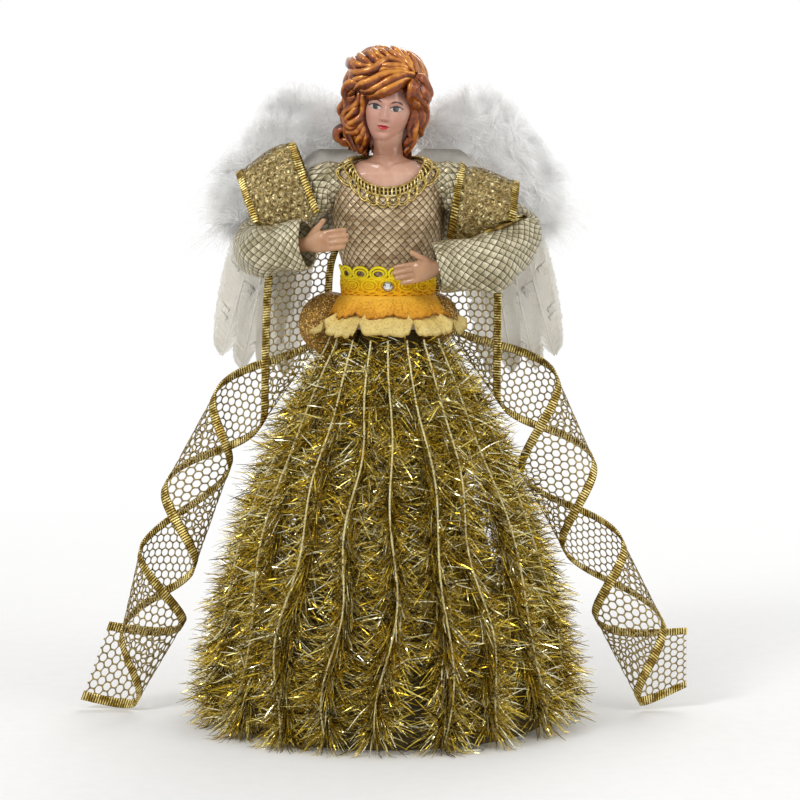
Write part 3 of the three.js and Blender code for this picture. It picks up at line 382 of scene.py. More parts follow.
def make_world():
    world = bpy.data.worlds.new("studio")
    bpy.context.scene.world = world
    world.use_nodes = True
    nodes, links = world.node_tree.nodes, world.node_tree.links
    nodes.clear()
    glows = []
    for colour, strength in ((ROOM_COLOUR, ROOM_STRENGTH), (WHITE, 1.0)):
        glow = nodes.new("ShaderNodeBackground")
        glow.inputs["Color"].default_value = colour
        glow.inputs["Strength"].default_value = strength
        glows.append(glow.outputs[0])
    both = chosen(nodes, links, seen_directly(nodes, links), *glows)
    links.new(both, nodes.new("ShaderNodeOutputWorld").inputs["Surface"])


def aimed(thing, place, target):
    """Put a lamp or camera at a place and turn it to a target."""
    made = bpy.data.objects.new(thing.name, thing)
    bpy.context.collection.objects.link(made)
    made.location = place
    made.rotation_euler = (Vector(target) - made.location).to_track_quat("-Z", "Y").to_euler()
    return made


LAMP_TARGET = (0, 0, 0.16)
CAMERA_PLACE, CAMERA_TARGET = (0.0054, -1.43, 0.30), (0.0054, 0, 0.1455)


def make_lamp(name, place, size, watts):
    data = bpy.data.lights.new(name, "AREA")
    data.shape = "DISK"
    data.size = size
    data.energy = watts
    aimed(data, place, LAMP_TARGET)


def make_camera():
    data = bpy.data.cameras.new("camera")
    data.lens = 143
    data.sensor_width = 36
    bpy.context.scene.camera = aimed(data, CAMERA_PLACE, CAMERA_TARGET)


make_floor()
make_world()
make_camera()
make_lamp("key", (-0.9, -1.1, 1.2), 0.55, 11.5)
make_lamp("fill", (1.1, -0.9, 0.7), 0.8, 5.5)
make_lamp("rim", (0.3, 1.2, 1.1), 0.9, 7)
bpy.context.scene.view_settings.view_transform = "Standard"


# Skirt of tinsel.

CONE_HEIGHT, CONE_BASE, CONE_TOP = 178, 72, 13
GARLANDS = 20
CORE_TOP = 175
STRIPS, STRIP_STEPS = 2900, 7
STRIP_LENGTH, STRIP_WIDTH = (7.5, 20.5), (0.3, 0.6)
# Strip colours: the darkest is painted shade of the skirt's depths, the palest two are painted glints, and
# the golds between are the film's own colour.
STRIP_GOLDS_AND_PAINTED_LIGHT = ("#5A4A0A", "#C6A62A", "#ECD048", "#FCEE94", "#FFFCDC")
GOLD_AND_LIGHT_SHARES = (0.18, 0.22, 0.2, 0.19, 0.21)
THREAD_STEPS, THREAD_LAY, THREAD_OFFSET, THREAD_RADIUS, THREAD_LIFT = 360, 3.2, 0.21, 0.27, 1.2


def cone_radius(z):
    return mix(CONE_BASE, CONE_TOP, z / CONE_HEIGHT)


def garland_outer(z):
    """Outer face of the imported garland, which the film strips cover."""
    t = np.clip((z - 4) / 168, 0, 1)
    return cone_radius(z) + 0.3 + mix(11, 12, t) + 12 * np.sin(math.pi * t)


def tinsel_look():
    look = Look("tinsel_film", Metallic=0.8, Roughness=0.12)
    speck = look.ramp(look.noise(1.2, 2), [(0.3, "#CFC9B8"), (0.7, "#FFFFFF")])
    return look.wear(Base_Color=look.blend(1.0, look.attribute("Tint", "Color"), speck, "MULTIPLY"),
                     Roughness=look.span(look.noise(3.0), 0.3, 0.7, 0.08, 0.2))


def thread_look(name, dark, light, size=0.5):
    look = Look(name, Metallic=0.1, Roughness=0.5)
    twist = look.noise(size, 2)
    return look.wear(Base_Color=look.ramp(twist, [(0.3, dark), (0.7, light)]), Normal=look.bump(twist, 0.15))


def garland_core(index, rng, steps=60):
    """The twisted thread that a garland hangs on, a little wavy, from the waist to the hem."""
    angle = TAU * index / GARLANDS
    z = np.linspace(CORE_TOP, rng.uniform(4, 9), steps)
    wave = 0.10 * np.sin(z / rng.uniform(11, 16) + rng.uniform(0, TAU))
    wave = wave + 0.14 * np.sin(z / 41 + rng.uniform(0, TAU))
    turn = angle + rng.normal(0, 0.03) + wave * smooth((CORE_TOP - z) / 60) * 0.36
    inner = cone_radius(z)
    r = inner + 0.7 * (garland_outer(z) - inner)
    return np.stack([r * np.cos(turn), r * np.sin(turn), z], 1)


def make_tinsel(number, rng, core, film):
    """Film strips that stand out from a garland's core all along it, most of them low down."""
    where = run_lengths(core)[-1] * rng.uniform(0, 1, STRIPS) ** 0.66
    foot = at_lengths(core, core, where)
    along = at_lengths(core, tangents(core), where)
    out = unit(foot * vec(1, 1, 0))
    side = np.cross(along, out)
    full = smooth((CONE_HEIGHT - foot[:, 2]) / 40)
    turn = rng.uniform(-2.0, 2.0, STRIPS)[:, None]
    way = unit(out * np.cos(turn) + side * np.sin(turn) + along * rng.normal(0.1, 0.7, STRIPS)[:, None])
    length = rng.uniform(*STRIP_LENGTH, STRIPS) * mix(0.75, 1.0, full)
    t = np.linspace(0, 1, STRIP_STEPS)
    curl = unit(np.cross(way, rng.normal(0, 1, (STRIPS, 3))))
    bow = rng.normal(0, 0.12, STRIPS) * length
    lines = (foot[:, None] + way[:, None] * (length[:, None] * t)[..., None]
             + curl[:, None] * (bow[:, None] * t ** 2)[..., None]
             - UP * (0.12 * length[:, None] * t ** 2)[..., None])
    far = np.hypot(lines[..., 0], lines[..., 1])
    near = cone_radius(np.clip(lines[..., 2], 0, CONE_HEIGHT)) + 0.8
    lines[..., :2] *= (np.maximum(far, near) / np.maximum(far, 1e-6))[..., None]
    lines[..., 2] = np.clip(lines[..., 2], 0.4, CONE_HEIGHT)
    facing = out * rng.choice((0.0, 1.6), (STRIPS, 1)) + rng.normal(0, 0.6, (STRIPS, 3))
    across = unit(np.cross(tangents(lines), facing[:, None]))
    twist = (rng.uniform(-2.8, 2.8, (STRIPS, 1)) * t)[..., None]
    across = across * np.cos(twist) + np.cross(tangents(lines), across) * np.sin(twist)
    taper = np.interp(t, (0, 0.3, 0.75, 1), (0.9, 1.0, 0.9, 0.35))
    points, faces = strips(lines, across, rng.uniform(*STRIP_WIDTH, STRIPS)[:, None] * taper)
    # Each strip gets one tint: gold, dark as painted shade, or near-white as a painted glint.
    golds_and_light = np.stack([rgb(c) for c in STRIP_GOLDS_AND_PAINTED_LIGHT])
    pick = rng.choice(len(golds_and_light), STRIPS, p=GOLD_AND_LIGHT_SHARES)
    tint = golds_and_light[pick] * rng.uniform(0.85, 1.15, (STRIPS, 1))
    piece = mesh_object(f"tinsel_{number}", points, faces, tint=np.repeat(tint, 2 * STRIP_STEPS, axis=0))
    settle(piece, film, "doll", "tinsel", f"garland_{number}")


def make_thread(number, core, thread):
    """Two twisted plies on the outside of a garland."""
    outer = unit(core * vec(1, 1, 0)) * (garland_outer(core[:, 2]) + THREAD_LIFT)[:, None] + core * UP
    fine = at_lengths(outer, outer, np.linspace(0, run_lengths(outer)[-1], THREAD_STEPS))
    radial = unit(fine * vec(1, 1, 0))
    tangent = np.cross(UP, radial)
    plies = []
    for phase in (0, math.pi):
        spin = (phase + TAU * np.linspace(0, run_lengths(core)[-1] / THREAD_LAY, THREAD_STEPS))[:, None]
        plies.append(fine + THREAD_OFFSET * (radial * np.cos(spin) + tangent * np.sin(spin)))
    points, faces = tubes(np.stack(plies), THREAD_RADIUS, 5)
    cord = mesh_object(f"tinsel_thread_{number}", points, faces)
    settle(cord, thread, "doll", "tinsel")


film = tinsel_look()
core_thread = thread_look("core_thread", "#D2C278", "#FAF2C8")
for index in range(GARLANDS):
    rng = np.random.default_rng(100 + index)
    core = garland_core(index, rng)
    make_tinsel(f"{index + 1:02d}", rng, core, film)
    make_thread(f"{index + 1:02d}", core, core_thread)


# Net ribbons.

RIBBON_WIDTH, RIBBON_EDGE = 31.75, 3.4
RIBBON_ROOT = ((18, 18.4855, 249.3), (1, 0, 0))
RIBBON_CREASES = {
    "left": [
        ((41, 18.2, 207), (1, -0.02, -0.06)),
        ((42, 12.5, 154), (1.01, -0.28, -1.45)),
        ((91.6, 13, 127.4), (0.81, 0, -1.47)),
        ((79.9, 12, 88.7), (0.55, 0, -1.56)),
        ((119, 12, 57.9), (0.25, 0, -1.23)),
        ((104, 12, 22.5), (0.76, 0, -1.26)),
        ((135.5, 12, 22.5), (0.43, 0, -1.15)),
    ],
    "right": [
        ((36, 18.2, 212), (1, -0.02, -0.06)),
        ((35.5, 12.5, 162.5), (0.98, -0.28, -1.35)),
        ((86.7, 13, 137), (0.58, 0, -1.34)),
        ((69.5, 12, 92), (0.67, 0, -1.2)),
        ((117.9, 12, 61.7), (0.64, 0, -1.28)),
        ((104.5, 12, 23.5), (0.71, 0, -1.34)),
        ((137.9, 12, 24), (0, 0, -0.88)),
    ],
}
HANG_BOW, CURL_DEPTH = 2, 5.5
BAND_STEPS, BAND_SOFTNESS = 24, 20
CELL, NET_THREAD, NET_THICK = 3.8, 0.52, 0.34
RIB = 1.15


def ribbon_rulings(name):
    """Pairs of points on the edges of a ribbon that folds over and over into a flattened curl."""
    rows = np.array([RIBBON_ROOT, *RIBBON_CREASES[name]], float)
    half = rows[:, 1] * RIBBON_WIDTH / 2
    creases = np.stack([rows[:, 0] - half, rows[:, 0] + half], 1)
    last = len(creases) - 2
    axis = unit(rows[-1, 0] - rows[2, 0])
    bands = []
    for i in range(last + 1):
        u = np.arange(BAND_STEPS + (i == last)) / BAND_STEPS
        behind = CURL_DEPTH if i % 2 == 0 else -CURL_DEPTH
        go, bow = (1 - np.cos(math.pi * u)) / 2, behind * np.sin(math.pi * u)
        step = creases[i + 1] - creases[i]
        ahead = (step @ axis)[:, None] * axis
        if i == 0:
            go, bow, ahead = u, 0 * u, 0 * ahead
        elif i == 1:
            go, bow, ahead = np.sin(math.pi * u / 2), -HANG_BOW * np.sin(math.pi * u), 0 * ahead
        elif i == last:
            go, bow = 1 - np.cos(math.pi * u / 2), behind * np.sin(math.pi * u / 2)
        band = creases[i] + ahead * u[:, None, None] + (step - ahead) * go[:, None, None]
        band[..., 1] += bow[:, None]
        bands.append(band)
    rulings = np.concatenate(bands)
    for _ in range(BAND_SOFTNESS):
        rulings[1:-1] = (rulings[:-2] + 2 * rulings[1:-1] + rulings[2:]) / 4
    rulings[..., 0] *= SIDES[name]
    return rulings


def on_rulings(rulings, fine=8, rows=25):
    """A function that puts points on a ribbon by length, sideways place and height; the ribbon's length."""
    upper, lower = (spline(rulings[:, k], fine) for k in (0, 1))
    share = np.linspace(-0.04, 1.04, rows)
    steps = len(upper)
    table = []
    for f in share:
        line = mix(upper, lower, f)
        table.append(at_lengths(line, line, np.linspace(0, run_lengths(line)[-1], steps)))
    table = np.stack(table)
    normal = unit(np.cross(np.gradient(table, axis=0), np.gradient(table, axis=1)))
    reach = run_lengths(mix(upper, lower, 0.5))[-1]

    def put(s, v, h=0.0):
        x = np.clip(s / reach, 0, 1) * (steps - 1)
        y = np.clip((v / RIBBON_WIDTH + 0.5 - share[0]) / (share[1] - share[0]), 0, rows - 1)
        i, j = np.minimum(x.astype(int), steps - 2), np.minimum(y.astype(int), rows - 2)
        f, g = (x - i)[:, None], (y - j)[:, None]
        read = lambda a: mix(mix(a[j, i], a[j, i + 1], f), mix(a[j + 1, i], a[j + 1, i + 1], f), g)
        return read(table) + unit(read(normal)) * np.broadcast_to(h, s.shape)[:, None]

    return put, reach


def net_plan(length, half):
    """Flat netting: staggered cells, each with a rounded gap. Points are length and sideways place."""
    rows = int(round(length / (0.8 * CELL)))
    rows += rows % 2
    pitch = length / rows
    width = 2 * half / round(2 * half / CELL)
    columns = int(round(2 * half / width)) + 2
    stretch = pitch / (math.sqrt(3) / 2 * width)
    turn = TAU * np.arange(6) / 6
    corner = np.stack([np.cos(turn) * stretch, np.sin(turn)], 1) * width / math.sqrt(3)
    ring = np.stack([corner, (corner + np.roll(corner, -1, axis=0)) / 2], 1).reshape(12, 2)
    shrink = (1 - NET_THREAD / width) * np.tile([0.92, 1.0], 6)
    j, i = np.meshgrid(np.arange(rows + 1), np.arange(columns), indexing="ij")
    middle = np.stack([j * pitch, -half + width * (i + 0.5 * (j % 2) - 0.5)], -1).reshape(-1, 2)
    both = np.concatenate([middle[:, None] + ring, middle[:, None] + ring * shrink[:, None]], axis=1)
    unique, index = np.unique(np.round(both.reshape(-1, 2) * 20).astype(int), axis=0, return_inverse=True)
    places = np.zeros((len(unique), 2))
    places[index.ravel()] = both.reshape(-1, 2)
    index = index.reshape(-1, 24)
    k = np.arange(12)
    after = (k + 1) % 12
    faces = np.stack([index[:, k], index[:, after], index[:, 12 + after], index[:, 12 + k]], -1)
    return places, faces.reshape(-1, 4)


def netting(put, length, half):
    places, faces = net_plan(length, half)
    s = np.clip(places[:, 0], 0.2, length - 0.2)
    v = np.clip(places[:, 1], -half - 1.0, half + 1.0)
    points = np.vstack([put(s, v, 0.5 * NET_THICK), put(s, v, -0.5 * NET_THICK)])
    return points, thicken(faces, len(s))


def selvedge(put, length, low, high):
    """A wired edge with cross ribs: two faces, thicker at its rim where the wire lies."""
    count, columns = int(round(length / RIB)) * 6, 7
    s = np.linspace(0, length, count)
    across = np.linspace(0, 1, columns)
    rib = np.abs(np.sin(math.pi * s / RIB))
    body = np.sin(math.pi * np.clip(across * 0.84 + 0.12, 0, 1)) ** 0.5
    wire = 0.34 * np.exp(-((across - 0.95) / 0.08) ** 2) + 0.12 * np.exp(-(across / 0.1) ** 2)
    height = 0.14 + 0.42 * rib[:, None] ** 0.7 * body + wire
    v = np.broadcast_to(mix(low, high, across), height.shape).ravel()
    where = np.repeat(s, columns)
    height = height.ravel()
    points = np.vstack([put(where, v, height), put(where, v, -height)])
    return points, thicken(grid_faces(count, columns), len(where)), np.tile(np.repeat(rib, columns), 2)


def net_look():
    look = Look("net_thread", Metallic=0.45, Roughness=0.4)
    grain = look.noise(1.1, 3)
    return look.wear(Base_Color=look.ramp(grain, [(0.25, "#62532F"), (0.5, "#8A784C"), (0.72, "#C6B274")]),
                     Normal=look.bump(look.noise(0.4, 2), 0.08))


def gold_look(name, dark, mid, light):
    look = Look(name, Metallic=0.8, Roughness=0.3)
    grain = look.noise(1.6, 3)
    return look.wear(Base_Color=look.ramp(grain, [(0.25, dark), (0.5, mid), (0.75, light)]),
                     Normal=look.bump(look.noise(0.35, 2), 0.1),
                     Roughness=look.span(grain, 0.3, 0.7, 0.42, 0.22))


def ribbed_look():
    look = Look("ribbed_gold", Metallic=0.65, Roughness=0.3)
    rib = look.math("ADD", look.attribute("Rib"), look.span(look.noise(4.0, 3), 0.35, 0.65, -0.3, 0.3))
    # Painted light and shade on the ribs: dark in the hollows between them, with a painted highlight on their
    # crests.
    stops = [(0.15, "#3A2A08"), (0.5, "#70560F"), (0.85, "#A4862C"), (1.05, "#EADA94")]
    rough = look.span(look.noise(2.0, 2), 0.3, 0.7, 0.2, 0.4)
    return look.wear(Base_Color=look.ramp(rib, stops), Roughness=rough)


def two_looks(piece, first_faces, second):
    """Give the faces after first_faces a second material."""
    piece.data.materials.append(second)
    index = np.zeros(len(piece.data.polygons), int)
    index[first_faces:] = 1
    piece.data.polygons.foreach_set("material_index", index)


def face_area(piece):
    """Area of a piece's faces in square metres."""
    areas = np.empty(len(piece.data.polygons))
    piece.data.polygons.foreach_get("area", areas)
    return float(areas.sum())


def declare_sheet(piece, width):
    """Work out a two-layer cloth's length from its area and its flat width in millimetres; the length is not
    used.
    """
    length = face_area(piece) / 2 / (width * MM)


def make_band(name, put, reach, net_material, body, slot):
    """A wired ribbon: netting between two ribbed edges."""
    inside = RIBBON_WIDTH / 2 - RIBBON_EDGE
    net = netting(put, reach, inside)
    edges = [selvedge(put, reach, sign * inside, sign * RIBBON_WIDTH / 2) for sign in (-1, 1)]
    points, faces = joined([net] + [edge[:2] for edge in edges])
    ribs = np.concatenate([np.full(len(net[0]), 0.5)] + [edge[2] for edge in edges])
    band = mesh_object(name, points, faces, values={"Rib": ribs})
    settle(band, net_material, body, slot, name)
    two_looks(band, sum(len(f) for f in net[1]), edge_material)
    return band


ribbon_net, edge_material = net_look(), ribbed_look()
for name in SIDES:
    put, reach = on_rulings(ribbon_rulings(name))
    ribbon = make_band(f"ribbon_{name}", put, reach, ribbon_net, f"ribbon_{name}", "net_ribbon")


# The figure's form.

STATIONS = [(0, 17, 14), (22, 18.5, 14), (50, 24, 16.5), (69, 25, 12), (78, 6.8, 6.8)]
TORSO_FOOT = 178.3


def figure_half(rise):
    """Half width and half depth of the figure at heights above the torso's foot."""
    rise = np.asarray(rise, float)
    width, depth = np.full(rise.shape, 17.0), np.full(rise.shape, 14.0)
    for (r0, w0, d0), (r1, w1, d1) in zip(STATIONS, STATIONS[1:]):
        t = smooth((rise - r0) / (r1 - r0))
        width = np.where(rise >= r0, mix(w0, w1, t), width)
        depth = np.where(rise >= r0, mix(d0, d1, t), depth)
    return width, depth


def body_point(rise, angle, offset=0.0):
    rise, angle, offset = np.broadcast_arrays(*(np.asarray(a, float) for a in (rise, angle, offset)))
    width, depth = figure_half(rise)
    slope = figure_half(rise + 0.5)[0] - figure_half(rise - 0.5)[0]
    out = offset / np.hypot(1, slope)
    up = TORSO_FOOT + rise - slope * out
    return np.stack([(width + out) * np.cos(angle), (depth + out) * np.sin(angle), up], -1)


def balls(centres, radius, rings=7, sides=10):
    """Small beads."""
    lat = np.linspace(-math.pi / 2, math.pi / 2, rings)
    shape = globe(lat, TAU * np.arange(sides) / sides).reshape(-1, 3)
    centres = np.asarray(centres, float).reshape(-1, 3)
    points = centres[:, None] + shape * radius
    faces = grid_faces(rings, sides, loop=True)[None] + (np.arange(len(centres)) * len(shape))[:, None, None]
    return points.reshape(-1, 3), [faces.reshape(-1, 4)]


BACK_SEAM = math.pi / 2
ROUND = np.linspace(BACK_SEAM, BACK_SEAM + TAU, 361)


def neck_opening():
    """Height at which the neckline meets the figure, for angles round it."""
    rises = np.arange(40, 78.01, 0.1)
    p = body_point(rises[None], ROUND[:, None], 0.8)
    inside = np.sum(((p - vec(0, -6, 256.3)) / vec(16.5, 15, 16.3)) ** 2, -1) < 1
    top = np.where(inside.any(1), rises[np.argmax(inside, axis=1)], 77.0)
    for _ in range(12):
        top[:-1] = (np.roll(top[:-1], 1) + 2 * top[:-1] + np.roll(top[:-1], -1)) / 4
        top[-1] = top[0]
    return top


NECK_RISE = neck_opening()
DOWN = np.arange(0, 15.01, 0.25)


def rises_below_neck():
    table = []
    for angle, top in zip(ROUND, NECK_RISE):
        rises = np.arange(top, top - 19, -0.1)
        table.append(np.interp(DOWN, run_lengths(body_point(rises, angle, 1.5)), rises))
    return np.array(table)


BELOW_NECK = rises_below_neck()


def below_neck(angle, distance, offset):
    """Points on the figure at a distance below the neckline, measured along the figure."""
    angle, distance = np.broadcast_arrays(np.asarray(angle, float), np.asarray(distance, float))
    a = np.mod((angle - BACK_SEAM) / TAU, 1) * 360
    d = np.clip(distance, 0, 14.9) / 0.25
    i, j = np.minimum(a.astype(int), 359), d.astype(int)
    f, g = a - i, d - j
    rise, rise_next = (mix(BELOW_NECK[i, k], BELOW_NECK[i + 1, k], f) for k in (j, j + 1))
    return body_point(mix(rise, rise_next, g), angle, offset)


def eyelets(on, spots, wide, tall, middle, lift, steps):
    """Lines of small rings of thread, side by side along a trim."""
    turn = np.linspace(0, TAU, steps)
    return on(spots[:, None] + wide * np.cos(turn)[None], middle + tall * np.sin(turn)[None], lift)


RANDOM_SHARE, SCALE_RELIEF = 0.35, 0.3


def scale_look(name, scale, shade, line):
    """Cloth with a lattice of scales; the UV map counts scales, so its whole numbers are their corners."""
    look = Look(name, Roughness=0.42, Metallic=0.25)
    u, v, _ = look.parts(look.uv())
    p, q = look.math("ADD", u, v), look.math("SUBTRACT", u, v)
    edge = look.math("MINIMUM", look.math("PINGPONG", p, 0.5), look.math("PINGPONG", q, 0.5))
    cell = look.tree.nodes.new("ShaderNodeCombineXYZ")
    look.put(cell.inputs[0], look.math("FLOOR", p))
    look.put(cell.inputs[1], look.math("FLOOR", q))
    chance = look.node("TexWhiteNoise", {"Vector": cell.outputs[0]}, "Value", noise_dimensions="3D")
    tone = look.math("ADD", look.math("MULTIPLY", chance, RANDOM_SHARE),
                     look.math("MULTIPLY", look.noise(7, 3), 1 - RANDOM_SHARE))
    rise = look.span(look.math("SUBTRACT", look.math("FRACT", p), look.math("FRACT", q)), -1.0, 1.0)
    base = look.ramp(tone, [(0.25, shade), (0.7, scale)])
    shading = look.ramp(rise, [(0.1, "#FFFFFF"), (0.5, "#EAE4D8"), (0.9, "#8E8470")])
    base = look.blend(1.0, base, shading, "MULTIPLY")
    fleck = look.ramp(look.noise(0.7, 2), [(0.42, "#B8AE92"), (0.62, "#FFFFFF")])
    base = look.blend(0.55, base, look.blend(1.0, base, fleck, "MULTIPLY"))
    mask = look.span(edge, 0.035, 0.085)
    dome = look.math("POWER", look.math("MULTIPLY", edge, 2.0, clamp=True), 0.5)
    return look.wear(Base_Color=look.blend(mask, line, base), Normal=look.bump(dome, SCALE_RELIEF),
                     Roughness=look.span(chance, 0.0, 1.0, 0.28, 0.55))


# Bodice, collar, belt.

bodice_cloth = scale_look("scale_cloth", "#F2DEC0", "#AC9068", "#3C2E16")
sleeve_cloth = scale_look("sleeve_scale_cloth", "#F6F2DC", "#B2AA88", "#3E371E")


BODICE_FOOT, BODICE_SCALES, BODICE_SCALE_HEIGHT = 8.0, 38, 3.7


def make_bodice():
    columns, rows = 300, 110
    angle = np.linspace(BACK_SEAM, BACK_SEAM + TAU, columns)
    rise = mix(BODICE_FOOT, np.interp(angle, ROUND, NECK_RISE)[None], np.linspace(0, 1, rows)[:, None])
    wrinkle = 0.22 * np.sin(angle * 11 + rise * 0.35) * np.sin(rise * 0.21 + angle * 3)
    wrinkle = wrinkle + 0.12 * np.sin(angle * 23 - rise * 0.8)
    outer = body_point(rise, angle[None], 1.35 + 0.5 * wrinkle * smooth((rise - 22) / 12))
    inner = body_point(rise, angle[None], 0.35)
    across = np.broadcast_to((angle - BACK_SEAM) / TAU * BODICE_SCALES, rise.shape)
    uv = np.stack([across, rise / BODICE_SCALE_HEIGHT], -1).reshape(-1, 2)
    piece = mesh_object("bodice", *two_layers(outer, inner), uv=np.vstack([uv, uv]))
    settle(piece, bodice_cloth, "doll", "scale_cloth", "bodice")


make_bodice()

NECK_LINE = below_neck(ROUND, 0.0, 2.2)
NECK_LENGTHS = run_lengths(NECK_LINE)


def on_neck(s, distance, offset):
    """Points by length along the neckline and distance below it."""
    return below_neck(np.interp(np.mod(s, NECK_LENGTHS[-1]), NECK_LENGTHS, ROUND), distance, offset)


COLLAR_LOOPS, LADDER_PITCH, COLLAR_GROUND = 20, 1.8, 4.2


def make_collar():
    length = NECK_LENGTHS[-1]
    s = np.clip(np.linspace(0, length, 320), 0, length - 1e-6)
    parts = [tubes(on_neck(s, distance, 2.5), radius)
             for distance, radius in ((0.1, 0.5), (1.9, 0.28), (3.9, 0.55))]
    count = int(round(length / LADDER_PITCH))
    at = (np.arange(count) + 0.5) * length / count
    rung, rung_lift = vec(0.0, 0.7, 1.9, 3.2, 4.0), vec(2.4, 3.0, 3.2, 3.0, 2.4)
    parts.append(tubes(on_neck(at[:, None], rung, rung_lift), 0.46))
    spots = (np.arange(COLLAR_LOOPS) + 0.5) * length / COLLAR_LOOPS
    for wide, tall, low, radius, lift in ((2.85, 2.75, 6.6, 0.42, 2.3), (2.15, 2.0, 6.2, 0.26, 2.2)):
        parts.append(tubes(eyelets(on_neck, spots, wide, tall, low, lift, 29), radius))
    parts.append(balls(on_neck(spots[::2], 6.2, 2.4), 0.7))
    piece = mesh_object("collar_trim", *joined(parts))
    gimp = gold_look("gold_gimp", "#5E4A16", "#B79C52", "#F2E8BE")
    settle(piece, gimp, "doll", "gold_braid", "collar_trim")
    s = np.linspace(0, length - 1e-6, 320)
    cloth, under = (on_neck(s, np.linspace(0.0, COLLAR_GROUND, 6)[:, None], offset) for offset in (1.9, 1.55))
    ground = mesh_object("collar_ground", *two_layers(cloth, under))
    settle(ground, thread_look("collar_ground", "#3A2A06", "#6E5414"), "doll", "gold_braid")


make_collar()

WAIST_LENGTHS = run_lengths(body_point(21, ROUND, 2.4))


def on_waist(s, rise, offset):
    """Points by length round the waist and height above the torso's foot."""
    return body_point(rise, np.interp(np.mod(s, WAIST_LENGTHS[-1]), WAIST_LENGTHS, ROUND), offset)


def lace_look():
    look = Look("yellow_lace", Roughness=0.7, Specular_IOR_Level=0.2)
    height = look.span(look.parts(look.coords)[2], 0.1935, 0.207)
    tone = look.math("ADD", height, look.span(look.noise(2.4, 3), 0.3, 0.7, -0.16, 0.16))
    base = look.ramp(tone, [(0.05, "#E3A012"), (0.4, "#EEC216"), (0.75, "#F2DE24")])
    return look.wear(Base_Color=base, Normal=look.bump(look.noise(0.45, 2), 0.12))


BELT_LOOPS, BELT_FOOT, BELT_TOP = 14, 16.0, 23.8


def make_belt():
    length = WAIST_LENGTHS[-1]
    rise = np.linspace(BELT_FOOT, BELT_TOP, 26)[:, None]
    angle = np.linspace(BACK_SEAM, BACK_SEAM + TAU, 480)[None]
    knit = 0.16 * np.sin(angle * 140 + rise * 5) * np.sin(rise * 6.0)
    parts = [two_layers(body_point(rise, angle, 2.25 + knit), body_point(rise, angle, 1.65))]
    spots = (np.arange(BELT_LOOPS) + 0.5) * length / BELT_LOOPS
    half = spots + 0.5 * length / BELT_LOOPS
    for where, wide, tall, middle, radius, lift in (
            (spots, 3.7, 2.9, 25.9, 0.62, 2.5), (spots, 2.5, 1.8, 25.6, 0.42, 2.5),
            (half, 3.6, 2.3, 20.2, 0.55, 2.7), (half, 2.2, 1.25, 20.2, 0.45, 2.7),
            (spots, 1.5, 1.4, 18.2, 0.42, 2.7)):
        parts.append(tubes(eyelets(on_waist, where, wide, tall, middle, lift, 33), radius))
    s = np.linspace(0, length - 1e-6, 420)
    for middle, wave, count, radius in ((23.4, 0.35, 28, 0.6), (22.7, -0.35, 28, 0.5),
                                        (17.2, 0.6, 14, 0.6), (16.4, -0.3, 28, 0.5)):
        parts.append(tubes(on_waist(s, middle + wave * np.sin(TAU * count * s / length), 2.6), radius))
    zig = np.linspace(0, length - 1e-6, 900)
    parts.append(tubes(on_waist(zig, 20.2 + 2.6 * np.sin(TAU * 42 * zig / length), 2.35), 0.3, 5))
    piece = mesh_object("lace_belt", *joined(parts))
    settle(piece, lace_look(), "doll", "yellow_lace", "lace_belt")


make_belt()


CUP_RINGS = ((2.35, 0.0), (2.4, 0.4), (2.15, 0.7))
STONE_RINGS = ((1.95, 0.45), (1.95, 0.8), (1.6, 1.35), (1.05, 1.8))


def make_gem():
    """A round faceted stone in a cup: rings by radius and height in front of the belt."""
    foot = body_point(19.9, -math.pi / 2, 3.0)
    turn = TAU * np.arange(24) / 24
    cup = np.vstack([np.stack([r * np.cos(turn), np.full(24, -h), r * np.sin(turn)], 1)
                     for r, h in CUP_RINGS])
    setting = mesh_object("gem_cup", cup + foot, [grid_faces(3, 24, loop=True), np.arange(24)[None],
                                                  np.arange(48, 72)[::-1][None]])
    settle(setting, gold_look("gem_setting", "#8F8A7C", "#C9C5BA", "#F3F1EA"), "doll", "gem")
    crown = []
    for k, (r, h) in enumerate(STONE_RINGS):
        turn = TAU * (np.arange(16) + 0.5) / 16 + (TAU / 32 if k == 2 else 0)
        crown.append(np.stack([r * np.cos(turn), np.full(16, -h), r * np.sin(turn)], 1))
    stone = np.vstack(crown + [[[0, -1.8, 0]]]) + foot
    step = np.arange(16)
    table = np.stack([48 + step, 48 + (step + 1) % 16, np.full(16, 64)], 1)
    gem = mesh_object("belt_gem", stone, [grid_faces(4, 16, loop=True), table], flat=True)
    look = Look("gem_stone", Metallic=0.9, Roughness=0.06)
    # Painted reflections: blue-grey and white patches in the stone's colour stand for facets mirroring dark
    # and bright surroundings.
    painted_facet_flashes = look.ramp(look.noise(0.9, 2), [(0.35, "#6F7C8A"), (0.6, "#FFFFFF")])
    look.wear(Base_Color=look.blend(0.5, look.blend(0.5, "#FFFFFF", "#AEB9C4"), painted_facet_flashes))
    settle(gem, look.material, "doll", "gem", "belt_gem")


make_gem()


# Petals and hips.

def petal_look(name, stops, line):
    look = Look(name, Roughness=0.6, Specular_IOR_Level=0.25)
    t = look.attribute("Along")
    base = look.ramp(look.math("ADD", t, look.span(look.noise(6, 3), 0.3, 0.7, -0.15, 0.15)), stops)
    grain = look.noise(2.6, 4)
    stroke = look.span(look.math("ABSOLUTE", look.math("SUBTRACT", grain, 0.5)), 0.0, 0.022, 1.0, 0.0)
    mark = look.math("MULTIPLY", stroke, look.attribute("Mark"), clamp=True)
    edge = look.span(t, 0.93, 0.985)
    both = look.math("MAXIMUM", mark, look.math("MULTIPLY", edge, 0.8))
    return look.wear(Base_Color=look.blend(both, base, line), Normal=look.bump(look.noise(0.8, 3), 0.15))


